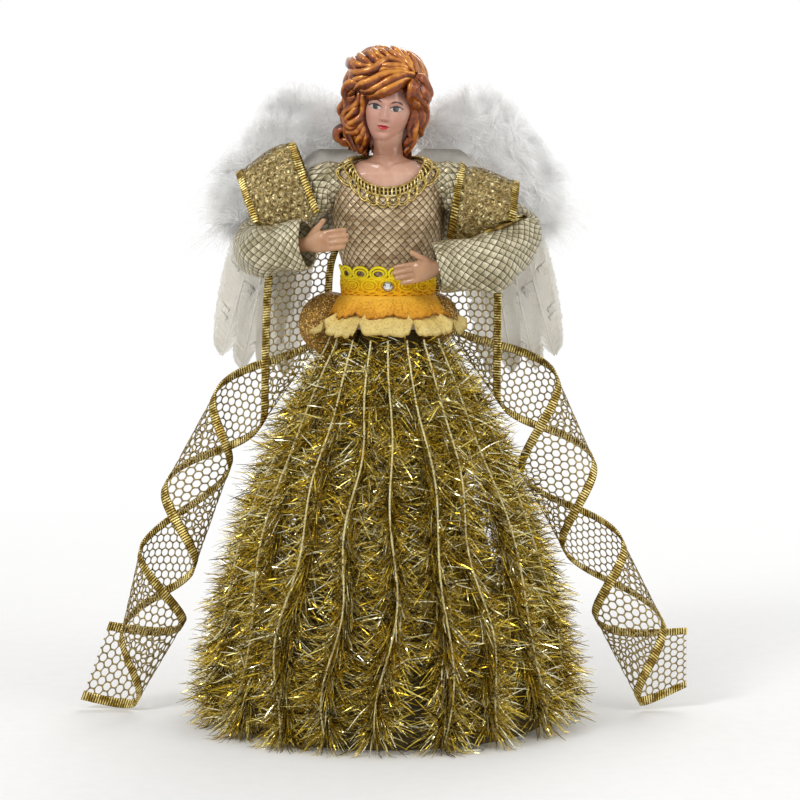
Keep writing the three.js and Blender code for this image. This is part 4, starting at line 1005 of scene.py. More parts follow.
def make_petals(name, start, drop, flare, ripple, look, slot, notch, seed, count):
    rng = np.random.default_rng(seed)
    columns, rows = 720, 30
    angle = np.linspace(BACK_SEAM, BACK_SEAM + TAU, columns)
    petal = np.abs(np.sin(angle * count / 2 + 0.4 * np.sin(2 * angle + seed)))
    back = smooth((np.sin(angle) - 0.1) / 0.8)
    grain = sum(rng.normal(0, 1) * np.sin(k * angle + rng.uniform(0, TAU)) / math.sqrt(k)
                for k in range(5, 60, 3))
    grain /= np.abs(grain).max()
    reach = flare * mix(1, 0.35, back) + 1.2 * (petal - 0.5)
    reach = reach + ripple * np.sin(angle * 13 + 1.3) * (1 - 0.5 * back)
    teeth = np.abs(np.sin(angle * 16 + 3 * grain)) * (0.5 + 0.5 * np.sin(angle * 5 + seed))
    fall = drop + 1.4 * (petal - 1) + 0.9 * grain + 0.28 * notch * teeth - notch * np.exp(-(petal / 0.2) ** 2)
    t = np.linspace(0, 1, rows)[:, None]
    foot = body_point(start, angle, 2.45)
    out = np.stack([np.cos(angle), np.sin(angle), 0 * angle], 1)
    wave = ripple * 0.7 * np.sin(angle * 19 + 4 * grain)[None] * t ** 2
    upper = foot[None] + out[None] * (reach[None] * t ** 0.9 + wave)[..., None]
    upper = upper - UP * (fall[None] * t ** 1.2)[..., None]
    along = np.broadcast_to(t, upper.shape[:2]).ravel()
    mark = np.broadcast_to(smooth((t - 0.12) / 0.2), upper.shape[:2]).ravel()
    piece = mesh_object(name, *two_layers(upper, upper - UP * PETAL_THICK),
                        values={"Along": np.tile(along, 2), "Mark": np.tile(mark, 2)})
    settle(piece, look, "doll", slot, name)
    declare_sheet(piece, PETAL_CUT)


PETAL_THICK, PETAL_CUT = 0.45, 145
amber = petal_look("amber_petal", [(0.1, "#EDB73A"), (0.6, "#E3A42E"), (0.95, "#D08F22")], "#8A520C")
straw = petal_look("straw_petal", [(0.1, "#D8A83E"), (0.5, "#E4C878"), (0.95, "#DCC884")], "#A88A42")
make_petals("petals_upper", 15.9, 9.5, 7.4, 0.5, amber, "amber_petal", 0.4, 5, 9)
make_petals("petals_lower", 10.2, 10.8, 14.6, 0.9, straw, "straw_petal", 4.4, 6, 10)


def glitter_look(name, dark, mid, light, size, glint_colour):
    """Cloth with flakes of this size, each painted darker by its own amount as if turned from the light, and
    a fifth of them painted as bright glints.
    """
    look = Look(name, Metallic=0.35, Roughness=0.45)
    tone = look.ramp(look.noise(4.5, 4), [(0.3, dark), (0.55, mid), (0.75, light)])
    first, second, third = look.parts(look.cells(size, "Color"), "SeparateColor")
    # Painted light: each flake is darkened by its own amount, and a fifth are painted in the glint colour.
    lit = look.blend(1.0, tone, look.ramp(second, [(0.0, "#8C8468"), (1.0, "#FFFFFF")]), "MULTIPLY")
    return look.wear(Base_Color=look.blend(look.span(first, 0.8, 0.9), lit, glint_colour),
                     Roughness=look.span(third, 0, 1, 0.2, 0.6), Normal=look.bump(look.cells(size), 0.35))


def make_hip(name, centre, radii):
    """Gathered glitter tulle that swells out at the hip under the belt."""
    lat, turn = np.linspace(-1.45, 1.45, 40), np.linspace(0, TAU, 90, endpoint=False)
    gather = 1 + 0.035 * np.sin(turn * 17) * np.cos(lat)[:, None]
    shell = globe(lat, turn) * np.stack([gather, gather, np.ones_like(gather)], -1) * radii + centre
    piece = mesh_object(name, *two_layers(shell, mix(centre, shell, 0.96), loop=True))
    settle(piece, hip_tulle, "doll", "amber_petal")
    declare_sheet(piece, HIP_CUT)


HIP_CUT = 60
hip_tulle = glitter_look("hip_tulle", "#7E5412", "#AE7C20", "#CC9E44", 0.5, "#E6C470")
make_hip("hip_tulle_left", vec(-25.5, 1.0, 180.0), vec(14.5, 9.0, 14.5))
make_hip("hip_tulle_right", vec(20.0, 1.0, 182.5), vec(11.5, 9.0, 12.0))


# Arms, puffs and hands.

SHOULDER = (26.595, 242.8)
ELBOW = {"left": (33, -3, -26), "right": (33, 3, -21)}
FOREARM = {"left": (27, 20, -28), "right": (18, 20, -31)}
WRIST = {"left": (9, 29, -25), "right": (-5, 23, -36)}
PUFF_LIFT = {"left": (9.5, 16), "right": (-2, 6)}
PUFF_LEAN = {"left": 20, "right": 8}
PUFF_START = {"left": 8, "right": 3.5}
PUFF_HIGH = {"left": (17.0, 13.8), "right": (12.4, 12.6)}
PUFF_DROP = {"left": 0, "right": 9}
SLEEVE_HANG = {"left": 3.0, "right": 6.5}
SLEEVE_LOW = {"left": 0.58, "right": 0.68}
SLEEVE_STEPS, SLEEVE_SIDES, SLEEVE_HEAD = 150, 120, 14
SLEEVE_THICK, SLEEVE_CUT, SLEEVE_SCALES, SLEEVE_SCALE_LENGTH = 0.9, 60, 18, 3.6


def arm_points(name, count):
    """Shoulder, elbow, and a line from the shoulder to the wrist."""
    side = SIDES[name]
    root = vec(side * SHOULDER[0], 0, SHOULDER[1])
    at = lambda p: root + vec(side * p[0], -p[1], p[2])
    elbow = at(ELBOW[name])
    stops = [root, mix(root, elbow, 0.5), elbow, at(FOREARM[name]), at(WRIST[name])]
    return root, elbow, spaced(stops, count)


def make_sleeve(name):
    """A wide sleeve along the arm; its head of extra rings lies under the bodice."""
    side, rest = SIDES[name], SLEEVE_STEPS - SLEEVE_HEAD
    root, _, line = arm_points(name, rest)
    lead_in = np.linspace(0, 1, SLEEVE_HEAD + 1)[:-1]
    line = np.vstack([mix(root - vec(side * 9, 0, -1.0), root, lead_in[:, None]), line])
    along = tangents(line)
    along[:20] = unit(mix(vec(side, 0, 0), along[:20], np.clip(np.arange(20) / 5 - 2.8, 0, 1)[:, None]))
    across = unit(np.cross(UP, along))[:, None]
    up = np.cross(along, across[:, 0])[:, None]
    t = np.concatenate([0 * lead_in, np.linspace(0, 1, rest + 1)])[:, None]
    head = np.concatenate([lead_in - 1, np.zeros(rest + 1)])[:, None]
    turn = (TAU * np.arange(SLEEVE_SIDES + 1) / SLEEVE_SIDES)[None]
    wide = smooth((t - 0.45) / 0.55)
    fold = 0.5 * np.sin(9 * t * math.pi)
    crease = (0.55 * np.sin(turn * 2 + 9 * t + 1) * np.exp(-((t - 0.45) / 0.2) ** 2)
              + 0.35 * np.sin(turn * 5 - 21 * t) * smooth(t * 4)
              + 0.25 * np.sin(turn * 3 + 34 * t))
    crease = np.maximum(crease, -0.3)
    hang = SLEEVE_HANG[name] * np.exp(-((t - SLEEVE_LOW[name]) / 0.17) ** 2)
    gather = 0.45 * np.sin(turn * 17) * np.exp(-((t + 0.25 * head) / 0.14) ** 2) + 2.6 * head
    high = mix(9.2, 10.5, wide) + fold + 0.5 + crease + gather + hang * np.clip(-np.sin(turn), 0, 1) ** 1.5
    high = high + 0.9 * np.exp(-(t / 0.12) ** 2) * np.clip(np.sin(turn), 0, 1)
    deep = mix(9.2, 8.0, wide) + 0.5 * fold + 0.5 + crease + gather
    outer, inner = (line[:, None] + across * ((deep - less) * np.cos(turn))[..., None]
                    + up * ((high - less) * np.sin(turn))[..., None] for less in (0, SLEEVE_THICK))
    scales = (turn / TAU * SLEEVE_SCALES, (run_lengths(line) / SLEEVE_SCALE_LENGTH)[:, None])
    uv = np.stack(np.broadcast_arrays(*scales), -1).reshape(-1, 2)
    piece = mesh_object(f"sleeve_{name}", *two_layers(outer, inner), uv=np.vstack([uv, uv]))
    settle(piece, sleeve_cloth, f"arm_{name}", "sleeve_cloth", f"sleeve_{name}")
    declare_sheet(piece, SLEEVE_CUT)


puff_glitter = glitter_look("puff_glitter", "#A4863C", "#CEB272", "#ECDCAC", 0.85, "#FFF2B8")
puff_net = net_look()
PUFF_DEPTH, PUFF_PINCH, ARM_ROOM = 11.6, (11.4, 15.5), 10.7
LINING_CUT, LINING_THICK = 29.2, 0.45


def puff_put(name, grow):
    """Places on the loop of ribbon round an upper arm: length round the loop, sideways place, height."""
    side = SIDES[name]
    root, elbow, line = arm_points(name, 120)
    along = unit(elbow - root)
    lean = math.radians(PUFF_LEAN[name])
    up = vec(side * math.sin(lean), 0, math.cos(lean))
    turn = np.linspace(math.pi + 0.01, 3 * math.pi - 0.01, 721)
    open_foot = name == "left"

    def depth_way(angle):
        way = np.sin(angle)
        if open_foot:
            way = np.where(np.cos(angle) < 0, np.sign(way), way)
        return way * (1 - 0.28 * smooth(np.cos(angle)))

    pinch = np.stack([PUFF_PINCH[0] * depth_way(turn), PUFF_PINCH[1] * np.cos(turn)], 1)
    lengths = run_lengths(np.hstack([pinch, 0 * pinch[:, :1]]))
    reach = lengths[-1]

    def put(s, v, h=0.0):
        h = np.broadcast_to(h, s.shape) + grow
        angle = np.interp(s, lengths, turn)
        t = v / RIBBON_WIDTH + 0.5
        lift = mix(*PUFF_LIFT[name], t)
        high = mix(*PUFF_HIGH[name], t) - 2.2 * (1 - smooth(t / 0.28)) + h
        high = high + 1.4 * np.sin(math.pi * np.clip(t, 0, 1))
        sway = 0.5 * np.sin(angle * 5 + 7 * t) + 0.35 * np.sin(angle * 9 - 5 * t)
        deep = (PUFF_DEPTH + sway * smooth(np.cos(angle) + 0.6) + h) * depth_way(angle)
        middle = root + along * (PUFF_START[name] + t * RIBBON_WIDTH)[:, None] + up * lift[:, None]
        high = high + 0.6 * sway + PUFF_DROP[name] * (1 - 0.7 * t) * (np.cos(angle) < 0)
        p = middle + vec(0, -1, 0) * deep[:, None] + up * (high * np.cos(angle))[:, None]
        for _ in range(2):
            gap = p[:, None] - line[None, ::3]
            near = np.argmin(np.linalg.norm(gap, axis=2), axis=1)
            away = p - line[::3][near]
            far = np.linalg.norm(away, axis=1)
            p = p + unit(away) * np.maximum(0, ARM_ROOM + h - far)[:, None]
        return p

    return put, reach


def make_puff(name):
    put, reach = puff_put(name, 0.9)
    puff = make_band(f"puff_{name}", put, reach, puff_net, f"arm_{name}", "puff_ribbon")
    put_in, _ = puff_put(name, 0.0)
    s, v = np.meshgrid(np.linspace(0.5, reach - 0.5, 180), np.linspace(-0.5, 0.5, 24) * LINING_CUT)
    crumple = 0.5 * np.sin(s * 0.9 + v * 0.4) * np.sin(v * 0.7 - s * 0.3)
    skin, back = (put_in(s.ravel(), v.ravel(), (crumple - less).ravel()).reshape(*s.shape, 3)
                  for less in (0, LINING_THICK))
    lining = mesh_object(f"puff_lining_{name}", *two_layers(skin, back))
    settle(lining, puff_glitter, f"arm_{name}", "puff_ribbon")
    declare_sheet(lining, LINING_CUT)


def remeshed(name, points, faces, size, softness):
    """One smooth skin over overlapping solids."""
    lump = mesh_object(name + "_lump", points, faces)
    voxel = lump.modifiers.new("skin", "REMESH")
    voxel.mode = "VOXEL"
    voxel.voxel_size = size * MM
    soft = lump.modifiers.new("soft", "SMOOTH")
    soft.factor = 0.5
    soft.iterations = softness
    graph = bpy.context.evaluated_depsgraph_get()
    mesh = bpy.data.meshes.new_from_object(lump.evaluated_get(graph))
    mesh.name = name
    bpy.data.objects.remove(lump)
    made = bpy.data.objects.new(name + "_form", mesh)
    mesh.polygons.foreach_set("use_smooth", np.ones(len(mesh.polygons), bool))
    bpy.context.collection.objects.link(made)
    return made


def skin_look(name, painted):
    look = Look(name, Roughness=0.4, Specular_IOR_Level=0.3, Coat_Weight=0.45, Coat_Roughness=0.07)
    tone = look.ramp(look.noise(5, 3), [(0.3, "#F2E4DC"), (0.7, "#FFFFFF")])
    if painted:
        base = look.attribute("Tint", "Color")
    else:
        base = look.ramp(look.noise(9, 2), [(0.3, "#A87E5C"), (0.7, "#C09874")])
    base = look.blend(1.0, base, tone, "MULTIPLY")
    return look.wear(Base_Color=base, Normal=look.bump(look.noise(1.2, 2), 0.03))


hand_skin = skin_look("hand_skin", False)
PALM = ((-6, 3.2, 3.2), (-1, 3.2, 2.9), (1.5, 3.9, 2.7), (4, 4.6, 2.6),
        (8, 4.9, 2.5), (10, 4.5, 1.9), (10.8, 3.4, 1.1))
PALM_SIDES = 20
FINGERS = (8.3, 9.0, 8.6, 6.8)
THUMB = [(1.5, 0, 2.2), (4.5, -0.5, 4.8), (7.4, -0.7, 7.0), (9.6, -0.5, 9.0)]


def make_hand(name):
    """A palm of rings by place, height and depth; fingers side by side below the thumb."""
    _, _, arm = arm_points(name, 12)
    along = unit(arm[-1] - arm[-2])
    deep = unit(np.cross(UP, along))
    deep = -deep if deep[1] < 0 else deep
    way = np.stack([along, deep, unit(UP - along * along[2])])
    place = lambda p: arm[-1] + np.asarray(p, float) @ way
    turn = TAU * np.arange(PALM_SIDES) / PALM_SIDES
    palm = np.vstack([np.stack([np.full(PALM_SIDES, x), thick * np.cos(turn), high * np.sin(turn)], 1)
                      for x, high, thick in PALM])
    ends = np.arange(PALM_SIDES)
    last = ends + PALM_SIDES * (len(PALM) - 1)
    parts = [(place(palm), [grid_faces(len(PALM), PALM_SIDES, loop=True), ends[::-1][None], last[None]])]
    digits = []
    for i, length in enumerate(FINGERS):
        z = mix(0.74, -0.74, i / 3) * 4.8
        stops = [(6.5, 0, z * 0.95), (9, 0, z),
                 (9 + 0.55 * length, 0.5, 1.06 * z), (8 + 1.2 * length, 1.7, 1.03 * z)]
        digits.append((stops, 1.36, 1.0))
    digits.append((THUMB, 1.9, 1.15))
    for stops, foot, tip in digits:
        line = spaced(place(stops), 14)
        parts.append(tubes(line, np.linspace(foot, tip, 15)[None], 12))
        parts.append(balls(line[-1:], tip, 9, 12))
    hand = remeshed(f"hand_{name}", *joined(parts), 0.34, 4)
    settle(hand, hand_skin, f"hand_{name}", "hand_skin", f"hand_{name}")


for name in SIDES:
    make_sleeve(name)
    make_puff(name)
    make_hand(name)


# Head.

HEAD_PLACE = vec(0, 0, 277.5)
HEAD_TILT = math.radians(8)


def from_head(p):
    """Points of the tilted head put into the figure's frame."""
    p = np.asarray(p, float)
    x, y, z = p[..., 0], p[..., 1], p[..., 2]
    c, s = math.cos(HEAD_TILT), math.sin(HEAD_TILT)
    return np.stack([x * c + z * s, y, z * c - x * s], -1) + HEAD_PLACE


EYE_X, FACE_X = 4.65, -0.9


def face_relief(x, z):
    """How far the face stands out, in millimetres, by place across and up from the eyes."""
    def hill(cx, cz, wx, wz):
        return np.exp(-((x - cx) / wx) ** 2 - ((z - cz) / wz) ** 2)

    both = lambda cx, cz, wx, wz: hill(cx, cz, wx, wz) + hill(-cx, cz, wx, wz)
    bridge = np.exp(-(x / mix(0.95, 1.45, np.clip(-z / 4.2, 0, 1))) ** 2)
    nose = bridge * (0.5 + 1.9 * smooth((1.4 - z) / 5.6)) * smooth((z + 6.0) / 1.2) * smooth((4.2 - z) / 3.0)
    return (nose + 0.5 * both(1.5, -4.9, 0.75, 0.8)
            - 0.85 * both(EYE_X - 0.4, 0.4, 2.9, 1.8) + 0.5 * both(EYE_X, -0.1, 2.0, 1.1)
            + 0.35 * both(4.2, 3.0, 3.0, 1.0) + 0.6 * both(5.6, -4.6, 3.0, 2.8)
            + 0.5 * hill(0, -7.6, 2.3, 0.6) + 0.6 * hill(0, -9.35, 1.9, 0.75)
            - 0.45 * hill(0, -8.35, 2.6, 0.24) - 0.45 * hill(0, -10.9, 2.4, 0.8)
            + 0.85 * hill(0, -13.2, 2.8, 1.8) - 0.25 * hill(0, -6.5, 0.6, 0.8))


def face_paint(x, z, skin):
    """Colours of the painted face, with painted shade near the hairline, beside and under the nose and under
    the lower lip, by place across and up from the eyes.
    """
    def lay(colour, cover):
        return mix(skin, rgb(colour), np.clip(cover, 0, 1)[..., None])

    def within(distance):
        return smooth(distance / 0.15 + 0.5)

    # Painted shade: the forehead darkens towards the hairline.
    skin = lay("#9C7264", 0.75 * smooth((z - 3.4) / 3.4))
    skin = lay("#D08E80", 0.3 * np.exp(-((np.abs(x) - 5.8) / 2.8) ** 2 - ((z + 4.6) / 2.6) ** 2))
    # Painted shade beside the nose at the inner corners of the eyes, lower down its sides, and under it.
    skin = lay("#8E6458", 0.5 * np.exp(-((np.abs(x) - 1.9) / 0.8) ** 2 - ((z - 0.3) / 1.6) ** 2))
    skin = lay("#A87C6C", 0.4 * np.exp(-((np.abs(x) - 1.9) / 0.7) ** 2 - ((z + 3.2) / 1.8) ** 2))
    skin = lay("#A07464", 0.5 * np.exp(-(x / 2.0) ** 2 - ((z + 6.2) / 0.7) ** 2))
    for side in (-1, 1):
        u, w = (x - side * EYE_X) * side, z
        round_off = np.sqrt(np.clip(1 - (u / 2.75) ** 2, 0, 1))
        lid, low = 1.2 * round_off + 0.08 * u, -1.0 * round_off + 0.08 * u
        skin = lay("#94685C", 0.5 * np.exp(-(u / 2.9) ** 2 - ((w - 1.5) / 0.9) ** 2))
        inside = within(lid - w) * within(w - low) * (np.abs(u) < 2.75)
        skin = lay("#C4B8B0", inside)
        far = np.hypot(u + 0.1, w - 0.25)
        skin = lay("#1E130E", inside * within(1.35 - far))
        skin = lay("#060404", inside * within(0.95 - far))
        lash = mix(0.26, 0.42, np.exp(-(u / 1.6) ** 2))
        skin = lay("#150E0B", within(lash - np.abs(w - lid)) * (np.abs(u) < 2.85))
        flick = within(0.22 - np.abs(w - 0.45 - 0.3 * (u - 2.6)))
        skin = lay("#150E0B", flick * smooth((u - 2.3) / 0.3) * smooth((3.5 - u) / 0.4))
        skin = lay("#5E4036", 0.6 * within(0.13 - np.abs(w - low)) * (np.abs(u) < 2.5))
        arch = 3.3 - 1.15 * ((u - 0.1) / 2.95) ** 2
        thick = 0.42 * smooth((u + 3.1) / 1.5) * smooth((3.4 - u) / 1.6)
        skin = lay("#3B2118", within(thick - np.abs(w - arch)) * (u > -2.95) * (u < 3.2) * (thick > 0.05))
    m = z + 8.35
    half = 2.75
    bow = 0.95 * np.clip(1 - (np.abs(x) / half) ** 1.5, 0, 1) - 0.3 * np.exp(-(x / 0.5) ** 2)
    drop = 1.25 * np.sqrt(np.clip(1 - (x / (half - 0.4)) ** 2, 0, 1))
    skin = lay("#A81C26", within(bow - m) * within(m + 0.05) * (np.abs(x) < half))
    skin = lay("#BC2A34", within(drop + m) * within(0.05 - m) * (np.abs(x) < half - 0.35))
    skin = lay("#5E0E14", 0.85 * within(0.12 - np.abs(m)) * (np.abs(x) < half))
    # Painted shade under the lower lip.
    skin = lay("#A87862", 0.45 * np.exp(-(x / 1.8) ** 2 - ((m + 2.1) / 0.5) ** 2))
    nostril = np.exp(-((np.abs(x) - 0.9) / 0.4) ** 2 - ((z + 5.75) / 0.25) ** 2)
    return lay("#7A4236", 0.8 * nostril)


HEAD_HALF, JAW = vec(11.2, 13, 16.5), 0.84
NECK_FOOT, NECK_TOP = 256.6, 272


def make_head():
    """The head's points and colours; columns lie closer together over the face."""
    face_span = 2.1
    behind = np.linspace(0, 1, 62)[1:-1] * (TAU - face_span)
    turn = np.concatenate([np.linspace(-0.5, 0.5, 260) * face_span, face_span / 2 + behind])[None]
    lift = np.linspace(-math.pi / 2, math.pi / 2, 250)[:, None]
    z = HEAD_HALF[2] * np.sin(lift) + 0 * turn
    down = -z / HEAD_HALF[2]
    x = HEAD_HALF[0] * mix(1.0, JAW, smooth(down * 1.05)) * np.cos(lift) ** 0.9 * np.sin(turn)
    y = -HEAD_HALF[1] * mix(1.0, 0.9, smooth(down)) * np.cos(lift) ** 0.92 * np.cos(turn)
    y = y - 0.8 * smooth((-z - 9) / 6) * (y < 0)
    front = smooth((np.cos(turn) - 0.25) / 0.3) + 0 * z
    face_x, face_z = x - FACE_X, z + 0.4
    y = y - face_relief(face_x, face_z) * front
    rim_shade = 1 - 0.10 * smooth((np.abs(x) - 8) / 4)
    skin = np.broadcast_to(rgb("#C99B89"), (*z.shape, 3)).copy() * rim_shade[..., None]
    tint = mix(skin, face_paint(face_x, face_z, skin), (front > 0.35)[..., None].astype(float))
    return from_head(np.stack([x, y, z], -1)), tint


def make_neck():
    """Shoulder plate and neck, with collar bones, a notch and neck cords; points and colours."""
    angle = np.linspace(0, TAU, 260, endpoint=False)
    rise = np.concatenate([np.linspace(56, 69, 30), np.linspace(69.2, 78, 60)])
    chest = body_point(rise[:, None], angle[None], 0.0)
    neck_z = np.linspace(NECK_FOOT, NECK_TOP, 40)[:, None]
    climb = smooth((neck_z - 256.5) / 15)
    radius = 6.8 - 0.6 * np.sin(math.pi * np.clip((neck_z - 256.3) / 11, 0, 1)) + 0.5 * climb
    radius = radius * (1 + 0.03 * np.cos(2 * (angle - 1.0)) + 0.02 * np.cos(6 * angle))
    neck = np.stack(np.broadcast_arrays(radius * np.cos(angle) + 0.2 * climb,
                                        radius * np.sin(angle) - 0.6 * climb, neck_z), -1)
    torso = np.vstack([chest, neck])
    x, z, ahead = np.abs(torso[..., 0]), torso[..., 2], torso[..., 1] < 0
    bone = np.exp(-((z - 251.0 - 0.17 * x) / 0.95) ** 2) * smooth((x - 1.5) / 2) * smooth((16 - x) / 4)
    notch = np.exp(-(x / 1.6) ** 2 - ((z - 252.0) / 1.5) ** 2)
    cord = np.exp(-((x - mix(2.0, 5.4, np.clip((z - 252) / 10, 0, 1))) / 0.9) ** 2)
    cord = cord * smooth((z - 252) / 2) * smooth((266 - z) / 4)
    push = (0.75 * bone - 0.8 * notch + 0.35 * cord) * ahead
    torso = torso + push[..., None] * vec(0, -0.85, 0.5)
    shade = np.exp(-((torso[..., 2] - 258.0) / 6.5) ** 2)[..., None]
    return torso, mix(rgb("#D6AE98"), rgb("#94684F"), 0.95 * shade) + 0 * torso


def make_bust():
    (head, head_tint), (torso, torso_tint) = make_head(), make_neck()
    points, faces = joined([(p, grid_faces(*p.shape[:2], loop=True)) for p in (head, torso)])
    tint = np.vstack([head_tint.reshape(-1, 3), torso_tint.reshape(-1, 3)])
    piece = mesh_object("bust_head", points, faces, tint=tint)
    settle(piece, skin_look("doll_skin", True), "doll", "skin", "bust_head")


make_bust()


# Hair: half widths of locks and their lines, across and down in an enlarged front view of the head.
HAIR_VIEW_MM = 0.45 / 11.2
HAIR_VIEW_MIDDLE = (705.6, 787.7333)
LOCKS = [
    (46, [(1000, 445), (870, 500), (740, 575), (610, 625), (490, 650), (430, 610)]),
    (46, [(1000, 430), (860, 435), (720, 490), (590, 565), (470, 610), (400, 600)]),
    (46, [(990, 420), (820, 410), (660, 430), (520, 495), (400, 540), (330, 590)]),
    (44, [(985, 412), (840, 375), (690, 370), (560, 420), (430, 470), (330, 500), (290, 560)]),
    (44, [(980, 405), (860, 345), (720, 335), (650, 330), (610, 270), (620, 210)]),
    (44, [(940, 370), (820, 290), (720, 270), (640, 300), (560, 360), (440, 400), (330, 400), (280, 340)]),
    (44, [(700, 330), (600, 350), (480, 340), (400, 330), (340, 290), (320, 240)]),
    (44, [(620, 330), (560, 270), (520, 220), (470, 190)]),
    (40, [(990, 400), (900, 290), (810, 190), (750, 120)]),
    (36, [(1000, 400), (940, 290), (880, 200), (840, 150)]),
    (34, [(1015, 400), (985, 310), (940, 220), (900, 180)]),
    (40, [(920, 340), (830, 260), (740, 190), (680, 150)]),
    (40, [(840, 310), (740, 250), (650, 190), (590, 150)]),
    (40, [(700, 290), (620, 240), (560, 190), (510, 160)]),
    (42, [(520, 330), (450, 280), (400, 240), (350, 240)]),
    (42, [(420, 410), (340, 350), (290, 300), (270, 280)]),
    (30, [(1025, 410), (1010, 340), (990, 270), (950, 200)]),
    (42, [(400, 540), (310, 520), (260, 560), (245, 640), (290, 690), (350, 670)]),
    (40, [(330, 600), (260, 660), (235, 740), (190, 800), (200, 860), (260, 860)]),
    (42, [(390, 620), (390, 700), (330, 770), (260, 810), (230, 880), (270, 950), (340, 950)]),
    (40, [(430, 640), (440, 760), (420, 870), (350, 940), (270, 980), (240, 1000)]),
    (44, [(430, 860), (420, 980), (370, 1050), (290, 1060), (210, 1030), (150, 1060), (150, 1130),
         (220, 1160), (280, 1120)]),
    (40, [(440, 960), (440, 1070), (390, 1140), (380, 1220), (430, 1290), (460, 1250)]),
    (38, [(380, 760), (320, 850), (270, 900), (240, 960), (290, 1010), (370, 1000)]),
    (40, [(420, 1080), (350, 1130), (270, 1170), (190, 1160), (140, 1110)]),
    (34, [(460, 1060), (460, 1160), (420, 1240), (430, 1330)]),
    (38, [(1020, 430), (1090, 480), (1135, 560), (1160, 640), (1120, 710)]),
    (38, [(1010, 445), (1050, 530), (1090, 620), (1140, 690), (1150, 770)]),
    (38, [(1005, 460), (1000, 560), (1020, 650), (1080, 710), (1130, 770)]),
    (38, [(985, 480), (960, 580), (960, 680), (1010, 740), (1060, 790)]),
    (38, [(975, 640), (985, 760), (1000, 860), (970, 950), (980, 1040), (1040, 1080)]),
    (38, [(1040, 700), (1060, 820), (1070, 920), (1030, 1010), (1050, 1090), (1000, 1150)]),
    (36, [(1110, 740), (1120, 840), (1110, 940), (1070, 1010), (1060, 1090)]),
    (36, [(970, 930), (950, 1040), (970, 1130), (910, 1200), (880, 1290)]),
    (34, [(990, 1080), (960, 1160), (900, 1220), (860, 1300), (880, 1370)]),
    (34, [(930, 1120), (910, 1220), (920, 1320), (890, 1400)]),
]


def lock_places(stops):
    """Places of a lock's stops across and up from the tilted head's middle, to a tenth of a millimetre."""
    across, drop = ((np.array(stops, float) - HAIR_VIEW_MIDDLE) * HAIR_VIEW_MM).T
    rise = -drop
    c, s = math.cos(HEAD_TILT), math.sin(HEAD_TILT)
    return np.round(np.stack([across * c - rise * s, across * s + rise * c], 1), 1)


def hair_front(x, z):
    """Depth of the hair's front surface."""
    inside = 1 - np.abs((x + 1.5) / 20.0) ** 2.6 - np.abs((z - 5) / 23.0) ** 2.6
    depth = mix(8.5, 16.6, smooth((z + 1) / 9.0))
    return 3.5 - depth * np.clip(inside, 0.0, 1) ** (1 / 2.4)


def hair_look():
    look = Look("hair_paint", Metallic=0.3, Roughness=0.3, Specular_IOR_Level=0.2,
                Coat_Weight=0.65, Coat_Roughness=0.04)
    # The value carries painted light and shade across each lock as well as its grooves.
    ridge_and_shade = look.math("ADD", look.attribute("RidgeAndShade"), look.span(look.noise(3, 3), 0.3, 0.7, -0.15, 0.15))
    base = look.ramp(ridge_and_shade, [(0.12, "#180602"), (0.42, "#541E04"), (0.7, "#8E4409"), (0.98, "#D0882E")])
    return look.wear(Base_Color=base, Normal=look.bump(look.noise(0.8, 2), 0.04))


HAIR_MIDDLE, CAP_HALF = vec(-1.5, 3.5, 4), vec(16.8, 14.6, 22.4)
LOCK_SIDES, LOCK_FLUTES, LOCK_GROOVE = 40, 3, 0.12
BACK_LOCKS, NAPE_LOCKS = 24, 9
CROWN_SHARES = (0.1, 0.19, 0.28, 1.72, 1.81, 1.9)


